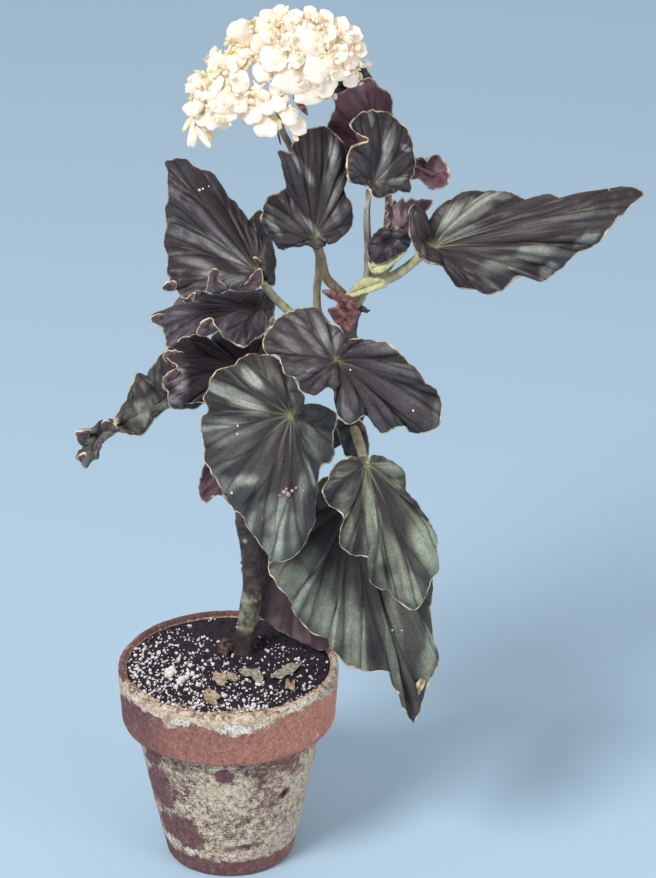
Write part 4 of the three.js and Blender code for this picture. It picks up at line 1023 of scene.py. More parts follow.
# heart: where the stalk meets the blade, [px, py, depth in mm]. spine: the far end of the line that the
# spokes leave. lean: mm nearer per mm to the right and per mm down. dome: belly towards the upper side, mm.
# turned: its underside shows. margin: clockwise as seen, [px, py, mm towards the viewer].
# veins: tips of the main veins, or else veinCount. lip: width of the cream margin, edge: how pale it is.
# sheen, dusk, plum, veinStrength: how much bloom and painted sheen, how purple it is, how red the blade and,
# past one half, how dark its underside in painted shade, how pale the veins. bloom: grey-green spots, partly
# the leaf's own tint and partly painted sheen and highlights, [px, py, half length, half width, turn,
# strength].
# flaps: edges that turn up.
# tears: dried bits. flecks: what lies on it, [kind, px, py, radius in mm].
# stalk: from the stem to the heart, as [px, py, depth in mm], with its radii in mm and its flush: a flush of
# red, which on stalks set deep among the leaves is also painted shade.
leaves = {}
leaves["right_long"] = dict(
    heart=(433, 248, -12), lean=(0.1, 0.3), dome=5, seed=1, sheen=0.6, dusk=0.4, lip=1.2, edge=0.45, plum=0.6,
    veinStrength=1,
    margin=[(428, 227, -2), (436, 212, -6), (450, 200, -9), (466, 193, -11), (486, 191, -12), (510, 194, -10),
            (530, 201, -6), (546, 195, -10), (562, 200, -5), (577, 199, -5), (595, 194, -10), (608, 191, -4),
            (621, 188, -8), (634, 189, -3), (644, 194, 0), (628, 208, 3), (614, 224, 5), (602, 240, 8),
            (590, 248, 4), (574, 256, 9), (558, 270, 4), (545, 281, 11), (530, 277, 5), (514, 280, 11),
            (501, 291, 7), (487, 295, 13), (478, 290, 6), (460, 288, 9), (450, 276, 4), (442, 266, 7),
            (428, 263, 11), (417, 253, 12), (410, 235, 12), (409, 212, 9), (414, 205, 6), (420, 212, 4),
            (429, 236, 1)],
    veins=[(450, 200), (486, 191), (530, 201), (577, 199), (644, 194), (590, 248), (545, 281), (487, 295),
           (450, 276), (412, 240)],
    bloom=[(470, 214, 34, 11, -28, 1.3), (488, 203, 22, 7, -16, 1.2), (462, 236, 26, 4, -18, 0.6),
           (446, 216, 12, 6, -40, 0.7), (560, 222, 50, 6, -12, 0.2), (515, 264, 44, 7, -20, 0.55),
           (588, 240, 16, 4, -35, 0.9), (548, 270, 11, 5, -50, 1), (489, 285, 12, 5, 20, 1),
           (420, 248, 10, 3, 75, 0.4)],
    stalk=[(379, 279, -4), (392, 277, -5), (406, 268, -6), (418, 258, -7), (427, 252, -8)],
    radii=(2.6, 2), flush=0.1,
)
leaves["upper_centre"] = dict(
    heart=(314, 239, -24), lean=(0, 0.2), dome=3, seed=2, sheen=0.6, dusk=0.6, edge=0.35, plum=0.55,
    veinStrength=0.25,
    margin=[(327, 243, 2), (343, 235, 0), (352, 223, -4), (351, 203, -1), (344, 190, -9), (347, 172, -9),
            (346, 153, -13), (338, 138, -7), (327, 127, -12), (309, 129, -7), (298, 136, -3), (292, 144, 1),
            (290, 153, 3), (279, 150, 5), (281, 160, 2), (284, 170, 0), (288, 182, -3), (284, 190, -5),
            (270, 196, 0), (265, 204, 4), (264, 211, 2), (260, 216, 6), (262, 225, 6), (274, 242, 4),
            (279, 249, 2), (288, 247, 4), (298, 244.8, 5), (307, 244, 4), (314, 247, 2), (321, 245, 2)],
    veins=[(352, 223), (344, 190), (346, 153), (327, 127), (298, 136), (281, 155), (270, 196), (262, 225),
           (279, 250)],
    bloom=[(301, 169, 17, 4.5, 58, 1.1), (333, 160, 30, 6, 82, 0.55), (332, 200, 30, 6, 80, 0.3),
           (312, 228, 16, 3, 50, 0.7), (290, 220, 24, 6, 25, 0.15), (272, 226, 12, 3, 50, 0.9)],
    stalk=[(350, 302, -2), (343, 295, -4), (335, 287, -6), (326, 277, -8), (322, 262, -11), (319, 251, -15)],
    radii=(2.3, 2.3), flush=0.65,
)
leaves["upper_left"] = dict(
    heart=(258, 272, -8), lean=(0, 0.2), dome=4, seed=3, sheen=0.5, dusk=0.75, edge=0.3, veinStrength=0.25,
    margin=[(267, 282, 1), (273, 286, -1), (273, 276, -2), (274, 258, -6), (271, 241, -9), (264, 225, -13),
            (263, 214, -14), (258, 210, -13), (253, 217, -11), (247, 221, -14), (241, 213, -15),
            (234, 202, -17), (223, 193, -21), (216, 190, -20), (213, 182, -22), (213, 175, -24),
            (203, 169, -21), (192, 166, -23), (187, 161, -25), (178, 160, -22), (165, 162, -18),
            (168, 172, -17), (168, 182, -15), (169, 196, -13), (164, 212, -14), (167, 228, -9),
            (164, 243, -8), (168, 258, -3), (168, 271, 3), (170, 279, 5), (165, 289, 8), (174, 290, 3),
            (178, 292, 6), (186, 301, 9), (193, 298, 9), (196, 292, 10), (208, 293, 12), (219, 293, 8),
            (230, 291, 12), (238, 288, 9), (246, 284, 8), (257, 280, 4)],
    veins=[(259, 209), (231, 199), (203, 169), (165, 163), (163, 214), (164, 243), (165, 289), (200, 299),
           (238, 288)],
    bloom=[(222, 254, 36, 6, 38, 0.65), (234, 252, 26, 3, 44, 0.5), (192, 264, 22, 6, 22, 0.65),
           (184, 236, 18, 9, 20, 0.3), (176, 190, 10, 6, 60, 0.3), (222, 281, 26, 6, 5, 0.7),
           (205, 222, 30, 3, 50, 0.25)],
    flaps=[[(207.5, 292), (208, 281), (210, 271), (215, 268), (219, 271), (220, 280), (226, 286), (222, 292)],
           [(232, 291), (239, 287), (244, 284), (248, 279), (253, 274), (259, 268), (262, 270), (263, 280),
            (259, 288), (247, 291)],
           [(253, 257), (257, 257), (261, 262), (262, 268), (259, 269), (257, 262)],
           [(165, 291), (163, 286), (167, 281), (175, 280), (177, 286), (174, 290)],
           [(181, 297), (184, 303), (189, 304), (193, 299), (196, 292), (191, 294), (186, 298)]],
    flecks=[("perlite", 198, 193, 0.7), ("perlite", 201, 194, 0.5), ("perlite", 209, 189, 0.4)],
    stalk=[(347, 348, -2), (330, 343, -2), (310, 330, -2), (291, 313, -3), (275, 298, 0), (265, 285, 1)],
    radii=(2.3, 1.9), flush=0,
)
leaves["middle_left"] = dict(
    heart=(260, 312, -2), lean=(0, 0.3), dome=4, seed=4, sheen=2, dusk=1, edge=0.6, plum=0.7,
    veinStrength=0.1,
    margin=[(271, 294, -14), (255, 290, -17), (240, 291, -19), (224, 294, -19), (212, 300, -18),
            (203, 300, -18), (192, 296, -15), (180, 298, -13), (174, 305, -10), (166, 317, -7),
            (159, 314, -6), (151, 318, -4), (155, 326, 1), (162, 327, 5), (165, 339, 9), (167, 348, 12),
            (176, 345, 12), (182, 339, 13), (192, 335, 15), (198, 333, 13), (205, 332, 14), (212, 331, 13),
            (217, 331, 14), (223, 337, 17), (232, 343, 15), (244, 348, 18), (252, 341, 15), (262, 336, 12),
            (270, 324, 6), (273, 312, -2)],
    veinCount=7,
    bloom=[(215, 312, 34, 5, 5, 0.2)],
    flaps=[[(197, 334), (199, 326), (202, 321), (208, 318), (213, 319), (215, 324), (219, 330), (213, 333),
            (204, 336)],
           [(151, 318), (156, 314), (162, 314), (164, 319), (160, 324), (154, 324)]],
    stalk=[(351, 362, 2), (330, 356, 6), (300, 341, 8), (280, 328, 6)],
    radii=(2.2, 1.8), flush=0.1,
)
leaves["inner_left"] = dict(
    heart=(246, 374, 5), lean=(0, 0.3), dome=5, seed=5, sheen=0.4, dusk=0.8, edge=0.7, plum=0.9,
    veinStrength=0.08,
    margin=[(264, 335, -8), (245, 332, -12), (225, 331, -14), (213, 336, -13), (211, 342, -13),
            (196, 342, -13), (192, 336, -11), (186, 336, -9), (184, 343, -9), (179, 343, -7), (177, 338, -6),
            (171, 345, -4), (164, 355, 0), (169, 361, 4), (177, 368, 8), (167, 374, 9), (163, 385, 12),
            (168, 393, 11), (169, 406, 14), (179, 404, 11), (200, 403, 12), (215, 406, 10), (235, 410, 8),
            (255, 405, 4), (266, 390, 0), (267, 370, -4)],
    veinCount=7,
    bloom=[(179, 382, 13, 7, 75, 1.4), (172, 400, 8, 4, 20, 0.5)],
    flaps=[[(163, 356), (167, 351), (175, 350), (183, 352), (187, 357), (182, 363), (174, 366), (171, 361),
            (166, 362)],
           [(172, 371), (178, 368), (176, 376), (169, 384), (166, 391), (162, 386), (164, 377)]],
    stalk=[(356, 378, 2), (330, 373, 8), (295, 370, 13), (262, 373, 11)],
    radii=(2.3, 1.8),
)
leaves["left_long"] = dict(
    heart=(192, 387, 16), spine=(99, 436), lean=(-0.1, 0.3), dome=3, seed=6, sheen=1.6, edge=0.7, plum=0.45,
    veinStrength=0.08,
    margin=[(200, 364, -6), (180, 354, -6), (162, 354, -2), (155, 363, 0), (147, 374, -2), (137, 374, -5),
            (132, 385, 0), (126, 399, 0), (119, 413, 2), (115, 422, 4), (109, 422, 3), (102, 423, 0),
            (93, 429, 4), (84, 430, 3), (75, 432, 0), (78, 442, 4), (85, 447, 2), (83, 452, 3), (76, 457, 0),
            (81, 463, 2), (86, 468, 4), (90, 461, 2), (99, 459, 5), (98, 451, 3), (102, 442, 1),
            (111, 435, 4), (118, 431, 2), (127, 434, 6), (141, 435, 7), (150, 425, 5), (160, 414, 6),
            (168, 408, 6), (185, 409, 6), (200, 406, 4), (208, 388, 0)],
    veins=[(180, 354), (147, 373), (126, 396), (75, 436), (97, 456), (127, 436), (157, 422), (185, 409)],
    bloom=[(143, 411, 26, 11, -28, 0.9), (96, 440, 16, 5, -25, 0.45), (150, 385, 16, 5, -40, 0.2)],
    flaps=[[(103, 421), (111, 421), (116, 424), (118, 431), (111, 434), (103, 441), (98, 440), (99, 432)],
           [(75, 432), (83, 430), (91, 430), (88, 437), (81, 441)],
           [(77, 457), (84, 452), (88, 458), (83, 463)]],
    stalk=[(300, 451, 4), (280, 437, 14), (255, 413, 22), (225, 395, 24)],
    radii=(2.4, 1.8),
)
leaves["front_large"] = dict(
    heart=(291.6, 415, -48), lean=(0, 0.35), dome=6, seed=7, sheen=1.25, dusk=0.35, plum=0.4,
    veinStrength=0.5,
    margin=[(297, 409, -1), (304, 409, 2), (314, 406, -2), (328, 409, -6), (336, 417, -10), (334, 433, -9),
            (332, 446, -9), (333, 454, -8), (329, 461, -7), (321, 466, -6), (318, 474, -6), (318, 486, -3),
            (314, 505, -5), (312, 526, -1), (305, 541, -3), (295, 555, 1), (287, 561, -1), (268, 562, -3),
            (268, 553, 0), (252, 533, -2), (243, 517, -5), (235, 509, -3), (224, 495, -8), (214, 476, -7),
            (206, 462, -12), (204, 445, -10), (201, 433, -14), (203, 417, -12), (209, 409, -8),
            (203, 399, -12), (208, 390, -14), (211, 380, -10), (219, 369, -12), (233, 366, -8),
            (241, 359, -12), (250, 354, -8), (259, 355, -10), (277, 359, -6), (287, 369, -4), (297, 386, -3),
            (303, 398, -2)],
    veins=[(334, 433), (318, 486), (290, 560), (252, 533), (216, 480), (201, 433), (204, 402), (219, 369),
           (250, 354), (287, 369)],
    bloom=[(236, 397, 36, 8, 27, 1.2), (255, 378, 15, 7, 48, 1.1), (226, 432, 26, 13, -5, 0.5),
           (232, 484, 26, 8, -16, 1), (222, 483, 10, 8, -10, 1.2), (284, 530, 34, 16, 98, 1),
           (262, 515, 26, 8, 125, 1), (301, 495, 30, 6, 100, 0.5), (272, 548, 16, 9, 60, 0.8),
           (312, 455, 34, 9, 82, 0.4)],
    flecks=[("perlite", 237, 492, 0.7), ("perlite", 240, 425, 0.5), ("perlite", 239, 434, 0.45),
            ("debris", 286, 492, 1.1), ("debris", 290, 494, 1.3), ("debris", 293, 490, 0.8),
            ("debris", 281, 496, 0.6), ("debris", 296, 487, 0.6), ("debris", 304, 490, 0.5),
            ("debris", 288, 488, 0.7)],
    stalk=[(306, 448, 0), (306, 440, -14), (303, 430, -28), (297, 421, -40)],
    radii=(2.8, 2.2), flush=0.3,
)
leaves["centre_right"] = dict(
    heart=(337, 360, -60), lean=(0.05, 0.3), dome=4, seed=8, sheen=1.4, dusk=0.6, plum=0.75,
    veinStrength=0.35,
    margin=[(343, 347, -2), (352, 340, 2), (366, 339, -2), (380, 343, -4), (393, 347, -2), (405, 359, -6),
            (419, 373, -4), (429, 386, -8), (437, 392, -6), (441, 402, -10), (439, 424, -8), (429, 431, -4),
            (412, 433, -8), (402, 426, -4), (393, 428, -8), (385, 433, -2), (376, 426, -6), (369, 417, -4),
            (362, 416, 2), (355, 421, 4), (348, 423, 6), (338, 414, 1), (334, 400, 4), (333, 389, 6),
            (323, 388, 2), (311, 395, 6), (300, 391, 2), (297, 382, 6), (291, 376, 2), (284, 371, 5),
            (281, 363, 1), (279, 357, 3), (268, 355, -1), (264, 350, -1), (264, 340, -4), (271, 328, -4),
            (279, 318, -8), (290, 312, -8), (300, 308, -12), (314, 309, -10), (321, 318, -12), (331, 324, -8),
            (340, 330, -8), (342, 338, -4)],
    veins=[(366, 339), (405, 359), (441, 402), (412, 433), (369, 417), (336, 410), (297, 385), (268, 350),
           (290, 312), (325, 320)],
    bloom=[(307, 335, 26, 6, 52, 0.75), (322, 333, 20, 4, 66, 0.6), (334, 342, 12, 5, 80, 0.6),
           (436, 412, 18, 4, 100, 0.3), (345, 412, 12, 4, 60, 0.35), (380, 346, 22, 4, 10, 0.25),
           (288, 345, 16, 6, 40, 0.25), (300, 372, 14, 4, -20, 0.3)],
    flecks=[("perlite", 350, 370, 0.5), ("perlite", 410, 412, 0.5)],
    stalk=[(354, 384, -3), (352, 378, -15), (347, 369, -38), (341, 363, -53)],
    radii=(2.6, 2.1),
)
leaves["lower_right"] = dict(
    heart=(365.5, 464, -54), lean=(0, 0.35), dome=4, seed=9, sheen=1.5, dusk=0, veinStrength=0.7,
    margin=[(370, 461, -2), (377, 457, -6), (387, 459, -6), (397, 466, -8), (404, 474, -8), (406, 490, -5),
            (407, 499, -10), (412, 505, -6), (421, 514, -10), (428, 521, -7), (434, 530, -12), (437, 545, -8),
            (437, 556, -12), (436, 572, -8), (429, 585, -10), (423, 602, -6), (413, 610, -4), (400, 603, 0),
            (389, 591, -2), (381, 589, 2), (372, 583, 2), (371, 573, -1), (370, 562, 2), (367, 556, 4),
            (353, 555, 2), (343, 548, 4), (340, 534, 0), (343, 517, 4), (338, 511, 4), (328, 503, 2),
            (322, 491, 6), (328, 481, 2), (335, 467, 2), (347, 458, -4), (358, 459, -2)],
    veins=[(387, 459), (406, 490), (434, 530), (425, 600), (389, 591), (353, 555), (340, 530), (322, 491),
           (347, 458)],
    bloom=[(388, 473, 22, 9, 42, 0.6), (393, 481, 9, 3.5, 48, 1.2), (366, 515, 42, 5, 86, 1),
           (374, 522, 40, 4, 78, 0.9), (424, 548, 36, 18, 72, 1), (404, 586, 26, 15, 32, 0.9),
           (388, 555, 34, 12, 62, 0.5), (345, 520, 30, 6, 80, 0.3)],
    stalk=[(352, 422, -3), (357, 436, -13), (361, 449, -28), (364, 459, -43)],
    radii=(2.6, 2.1),
)
leaves["lowest"] = dict(
    heart=(350, 498, -24), lean=(0, 0.3), dome=5, seed=10, sheen=1.9, dusk=0.1, veinStrength=0.4,
    margin=[(362, 490, -4), (395, 503, -7), (420, 530, -8), (431, 580, -7), (430, 612, -4), (433, 635, 0),
            (438, 656, -2), (433, 673, 4), (423, 696, 2), (419, 712, 6), (413, 723, 4), (405, 711, 8),
            (402, 702, 5), (399, 692, 8), (393, 683, 4), (389, 672, 8), (370, 672, 4), (354, 668, 8),
            (343, 662, 6), (333, 652, 10), (328, 639, 6), (314, 635, 10), (303, 624, 8), (293, 610, 12),
            (293, 602, 8), (282, 591, 12), (270, 574, 8), (268, 562, 10), (275, 540, 4), (295, 510, 1),
            (317, 484, -3), (336, 478, -5)],
    veins=[(420, 530), (433, 635), (413, 723), (370, 672), (333, 652), (300, 618), (268, 568), (285, 527)],
    bloom=[(296, 588, 40, 20, 50, 0.75), (322, 612, 50, 16, 62, 0.65), (352, 632, 44, 14, 78, 0.65),
           (428, 645, 44, 8, 95, 0.7), (390, 630, 50, 9, 82, 0.4), (310, 560, 36, 12, 50, 0.3)],
    tears=[[(412, 698), (414, 689), (417, 682), (421, 679), (425, 681), (424, 687), (420, 692), (416, 699)]],
    flecks=[("perlite", 389, 630, 0.5), ("perlite", 398, 630, 0.4)],
    stalk=[(349, 428, 0), (352, 444, 0), (353, 460, -3), (352, 475, -9), (350, 490, -16)],
    radii=(2.5, 2.1),
)
leaves["behind_left"] = dict(
    heart=(252, 452, 34), lean=(0, -0.3), dome=4, seed=11, turned=True, plum=0.7, veinStrength=0.3,
    margin=[(222, 496, 6), (212, 497, 10), (205, 503, 6), (199, 497, 4), (199, 481, 0), (207, 461, 4),
            (210, 440, -2), (222, 425, -6), (245, 415, -8), (270, 420, -6), (285, 440, -2), (288, 465, 0),
            (275, 490, 4), (255, 505, 8), (238, 508, 8)],
    veinCount=7,
    stalk=[(266, 474, 6), (263, 467, 15), (257, 459, 27)],
    radii=(2.3, 1.8), flush=0.3,
)
# it hangs in shade behind the stem: its near-black underside and dark margin are painted shade
leaves["behind_stem"] = dict(
    heart=(292, 532, 19), lean=(0, 0.12), dome=3, seed=18, turned=True, edge=0, plum=0.97, veinStrength=0.1,
    margin=[(292, 506, -4), (274, 510, -5), (258, 526, -5), (249, 545, -5), (247, 568, -5), (250, 590, -5),
            (257, 611, -4), (266, 622, 0), (283, 633, 3), (300, 642, 5), (318, 650, 6), (330, 648, 5),
            (338, 632, 4), (336, 600, 2), (330, 560, 0), (320, 525, -2), (306, 511, -3)],
    veinCount=8,
    stalk=[(252, 505, 8), (266, 508, 15), (280, 521, 15)],
    radii=(2.2, 1.8), flush=0.6,
)
leaves["top_right"] = dict(
    heart=(373, 184, -14), lean=(0, 0.3), dome=3, seed=12, dusk=0.7, lip=1.5, edge=1, veinStrength=0.25,
    margin=[(362, 183, 2), (349, 180, 4), (346, 167, 6), (347, 157, 6), (350.5, 146.5, 4), (358, 143.5, 8),
            (366.5, 140.5, 7), (366, 137.5, 6), (358, 132.5, 6), (349, 125.5, 5), (352, 120, 0),
            (361, 113, -4), (371, 110.5, -6), (389, 113, -10), (399, 123, -13), (407, 130, -11),
            (411, 140, -14), (414, 157, -12), (414, 172, -14), (409, 180, -9), (409, 193, -4), (400, 191, 0),
            (388, 195, 1), (375, 197, 4), (369, 191, 3)],
    veinCount=8,
    bloom=[(368.5, 120, 9, 3, 88, 1.1), (382, 158, 34, 6, 100, 0.75), (397, 178, 18, 4, 144, 0.6),
           (402, 149, 5, 4, 40, 1.2)],
    stalk=[(366, 282, -3), (367, 250, -1), (366, 225, -1), (367, 203, -4), (370, 192, -8)],
    radii=(1.35, 1.2), flush=0, stalkFinish="rosyStalk",
)
leaves["top_folded"] = dict(
    heart=(385, 150, 12), spine=(432, 174), lean=(0, 0.1), dome=4, seed=13, turned=True, edge=0.55, plum=0.6,
    veinStrength=0.3,
    margin=[(346, 157, 6), (340, 141, 10), (331, 135, 8), (327, 129, 6), (329, 121, 8), (335, 109, 4),
            (334, 99, 6), (336, 95, 4), (344, 91, 0), (355, 85, -2), (363, 80, -4), (371, 79, -4),
            (380, 89, -6), (390, 95, -4), (392, 107, -2), (396, 120, 0), (406, 140, 0), (414, 154, -1),
            (418.5, 160, 0), (423, 158, 1), (428, 163, 1), (433, 157, 1), (441, 158.5, 2), (449, 170, 2),
            (448, 181, 6), (440, 187, 2), (430, 187, 6), (422, 181, 2), (412, 179, 4), (390, 185, 5),
            (368, 178, 6), (355, 167, 8)],
    veinCount=8,
    stalk=[(369, 279, -1), (368, 245, 8), (367.5, 205, 10), (374, 172, 9)],
    radii=(1.6, 1.4), flush=0.5,
)
leaves["behind_flowers"] = dict(
    heart=(354, 90, 28), dome=3, seed=14, plum=0.8, veinStrength=0.1,
    margin=[(334, 99, 4), (331, 88, 0), (332, 78, 2), (345, 70, -4), (361, 62, -2), (372, 78, -4),
            (379, 88, -2), (376, 99, 2), (360, 104, 4), (345, 104, 4)],
    veinCount=6,
    stalk=[(375, 276, -1), (385, 240, 15), (388, 190, 26), (376, 135, 33), (362, 102, 33)],
    radii=(1.9, 1.4), flush=0.4,
)
leaves["small_inner"] = dict(
    heart=(356, 424, -6), dome=2, seed=15, plum=0.6, veinStrength=0.1,
    margin=[(362, 421, 0), (368, 436, 2), (369, 449, 1), (366, 459, 2), (355, 457, 3), (345, 455, 1),
            (340, 438, 2), (336, 420, 0), (345, 420, 2), (352, 417, 1)],
    veinCount=5,
)
leaves["young_front"] = dict(
    heart=(388, 240, -7), dome=4, seed=16, sheen=2.4, dusk=1, edge=0.2, plum=0.8, veinStrength=0.05,
    margin=[(382, 229, -2), (392, 230, 0), (403, 230, 0), (409, 235, 2), (409, 247, 4), (397, 256, 6),
            (383, 263, 7), (374, 262, 7), (368, 253, 5), (370, 240, 2)],
    veinCount=6,
    stalk=[(376, 273, -4), (381, 268, -4), (386, 258, -3), (388, 248, -3)],
    radii=(1.8, 1.4), flush=0.1,
)
leaves["young_back"] = dict(
    heart=(397, 226, 4), dome=3, seed=17, turned=True, sheen=1.5, veinStrength=1,
    margin=[(387, 229, 2), (390, 222, 1), (386, 218, 1), (389, 213, 0), (385, 209, -2), (387, 201, -3),
            (391, 205, -4), (394, 200, -5), (398, 203, -5), (402, 198, -6), (406, 202, -5), (412, 198, -6),
            (418, 201, -6), (424, 199, -8), (433, 201, -6), (427, 210, -4), (418, 219, -2), (413, 230, 0),
            (403, 234, 1), (393, 232, 2)],
    veinCount=6,
    bloom=[(397, 216, 13, 4, 95, 2), (404, 219, 10, 3, 115, 1.5), (391, 222, 8, 2.5, 60, 1.2)],
    stalk=[(383, 275, -4), (392, 263, 2), (398, 246, 3)],
    radii=(1.6, 1.2), flush=0.1,
)


def makeLeaf(name, leaf):
    # a small leaf has fewer spokes and rows, and lower pleats
    wide = np.ptp([m[0] for m in leaf["margin"]]) + np.ptp([m[1] for m in leaf["margin"]])
    fineness = min(1.0, 0.4 + wide / 280)
    spokes, rows = int(leafLook["spokes"] * fineness), int(leafLook["rows"] * fineness)
    pleat = leafLook["pleat"] * min(1, wide / 160)
    heartSize = leafLook["heartSize"] * min(1, 0.4 + wide / 300)
    blade, grid = bladeShell(leaf, spokes, rows, {**leafLook, "pleat": pleat, "heartSize": heartSize})
    shells = [blade] + [flapShell(flap, grid, 3 + k) for k, flap in enumerate(leaf["flaps"])]
    shells += [inFinish(flapShell(tear, grid, 9), 2) for tear in leaf["tears"]]
    shells += [fleckShell(fleck, grid, k) for k, fleck in enumerate(leaf["flecks"])]
    finishes = ["leafUpper", "leafUnder", "leafMargin"] + (["perlite", "debris"] if leaf["flecks"] else [])
    makePiece("blade_" + name, joined(shells), finishes, ["leaf_" + name])


leaves = {name: {**plainBlade, **leaf} for name, leaf in leaves.items()}
for name, leaf in leaves.items():
    makeLeaf(name, leaf)
print("leaves made:", len(leaves))

# stems and stalks
stem = {
    "path": [(243, 690, 12), (244, 655, 12), (246, 636, 12), (250, 608, 11), (252, 585, 10), (252, 560, 9),
             (247, 530, 8), (246, 508, 6), (257, 484, 5), (278, 463, 3), (304, 450, 2), (327, 442, 1),
             (346, 430, 0), (357, 412, 0), (356, 385, 0), (350, 345, 0), (349, 318, 0), (353, 302, -1)],
    "radii": (0.0052, 0.0040),
    "rings": 260,
    "ringEvery": 0.028,  # leaf scars up the stem
    "ringSwell": 0.0006,
    # nubs on it: the share of its length and the turn round it
    "nubs": [(0.06, 2.6), (0.1, 0.4), (0.16, 3.6), (0.22, 5.2), (0.3, 2.9), (0.36, 4.4), (0.5, 4.0),
             (0.72, 3.3)],
    "nubRadius": 0.0013,
    "spur": [(357, 309, -1), (363, 309, -3), (367, 311, -4), (370, 310, -4.5)],
    "spurRadii": (0.0028, 0.0004),
    "knob": (376, 275, -5.5),
    "knobRadius": 0.0019,
    "tip": [(353, 302, -1), (362, 289, -2), (371, 283, -3), (379, 279, -4)],
    "tipRadii": (0.0043, 0.0032),
}


def makeStem():
    # a tube whose radius eases from base to top, with a swollen ring at each old leaf scar
    count = stem["rings"]
    path = smoothPath(alongSight(stem["path"]), count)
    run = np.linspace(0, 1, count)
    length = np.linalg.norm(np.diff(path, axis=0), axis=1).sum()
    base, top = stem["radii"]
    swell = np.exp(-(((run * length / stem["ringEvery"]) % 1 - 0.5) / 0.06) ** 2)
    radius = base + (top - base) * run + stem["ringSwell"] * swell
    trunk = tube(path, radius, sides=28, lumps=0.0005, lumpSize=0.005, seed=3)
    # a grey-green patch low on the right, painted light where the stem is lit; elsewhere the stem is dusky,
    # partly its own dark skin and partly painted shade, and it pales again near the top
    x, _, height = trunk["points"].T
    patch = ease(0.112, 0.122, height) * (1 - ease(0.136, 0.148, height)) * (x > 0.3 * height - 0.076)
    trunk["marks"]["flush"] = np.clip(0.9 - 0.9 * patch - 0.6 * ease(0.27, 0.33, height), 0, 1)
    shells = [trunk]
    for k, (share, turn) in enumerate(stem["nubs"]):
        i = int(share * (count - 1))
        way = np.array((math.cos(turn), math.sin(turn), 0.15))
        nub = path[i] + way * radius[i] * 0.95
        shells.append(lump(nub, stem["nubRadius"], 80 + k, rows=8, sides=12))
    spur = smoothPath(alongSight(stem["spur"]), 10)
    spurRadius = np.linspace(*stem["spurRadii"], 10)
    shells.append(tube(spur, spurRadius, lumps=0.0003, lumpSize=0.002, seed=4, flush=1))
    shells.append(lump(alongSight([stem["knob"]])[0], stem["knobRadius"], 90, rows=8, sides=12))
    makePiece("woody_stem", joined(shells), ["stem"], ["main_stem"])
    tipPath = smoothPath(alongSight(stem["tip"]), 30)
    tipRadius = np.linspace(*stem["tipRadii"], 30)
    tip = tube(tipPath, tipRadius, sides=24, lumps=0.0004, seed=5, flush=0.35)
    makePiece("growing_tip", tip, ["stalk"], ["stem_tip"])


def makeStalk(name, leaf):
    # a tube that narrows to the heart, a quarter wider where it leaves the stem
    path = smoothPath(alongSight(leaf["stalk"] + [leaf["heart"]]), 60)
    start, end = np.array(leaf["radii"]) * mm
    run = np.linspace(0, 1, 60)
    radius = start + (end - start) * run + 0.25 * start * np.exp(-((run / 0.06) ** 2))
    stalk = tube(path, radius, sides=18, lumps=0.00018, seed=leaf["seed"], flush=leaf["flush"])
    makePiece("petiole_" + name, stalk, [leaf["stalkFinish"]], ["stalk_" + name])


makeStem()
for name, leaf in leaves.items():
    if "stalk" in leaf:
        makeStalk(name, leaf)
print("stems made")

# bracts and scraps: small blades and curled flakes
bractLook = {
    **leafLook, "thickness": 0.0006, "marginWidth": 0.6, "crimp": 0.4, "pleat": 0.0003, "buckle": 0.3,
    "frill": 0.6, "heartSize": 0.0001, "bloomAndSheenBase": 0.0,
}
bracts = {
    "pale_bract": {
        "node": "stipule_pale", "finish": "paleBract", "slot": "stalk",
        "heart": (352, 292, -6.5), "spine": (380, 282), "dome": 1.6,
        "margin": [(345, 295, 0), (350, 290, 0.5), (356, 283, 1), (361, 279, 1), (366, 277, 1), (374, 278, 1),
                   (380, 277, 1), (387, 282, 0), (386, 287, 1), (379, 289, 2), (372, 292, 3), (365, 293, 3),
                   (357, 296, 2), (349, 297, 1)],
    },
    "pale_upper_bract": {
        "node": "stipule_pale_upper", "finish": "paleBract", "slot": "stalk",
        "heart": (373, 268, -11), "spine": (392, 259), "dome": 1,
        "margin": [(368, 262, 0), (372, 264, 0), (380, 263, 0), (392, 257, 0), (399, 253, 0), (408, 250, 0),
                   (402, 257, 1), (394, 264, 1), (386, 270, 1), (381, 273, 1), (373, 273, 1), (369, 268, 1)],
    },
    "red_brown_bract": {
        "node": "stipule_brown", "finish": "bract", "slot": "dry",
        "heart": (345, 304, -7.5), "spine": (346, 322), "dome": 1.6,
        "margin": [(352, 294, 0), (346, 295, 1), (340, 292, 1), (332, 290, 1), (322, 290, 0), (326, 295, 0),
                   (334, 298, 1), (338, 302, 1), (335, 307, 1), (328, 309, 1), (330, 314, 1), (334, 321, 0),
                   (340, 326, 1), (346, 331, 1), (352, 333, 2), (355, 326, 1), (357, 318, 1), (361, 314, 0),
                   (357, 307, 0), (357, 299, 0)],
    },
}
for name, bract in bracts.items():
    shell, _ = bladeShell({**bract, "veinCount": 6}, 90, 16, bractLook)
    makePiece(name, shell, [bract["finish"]] * 3, [bract["node"]])

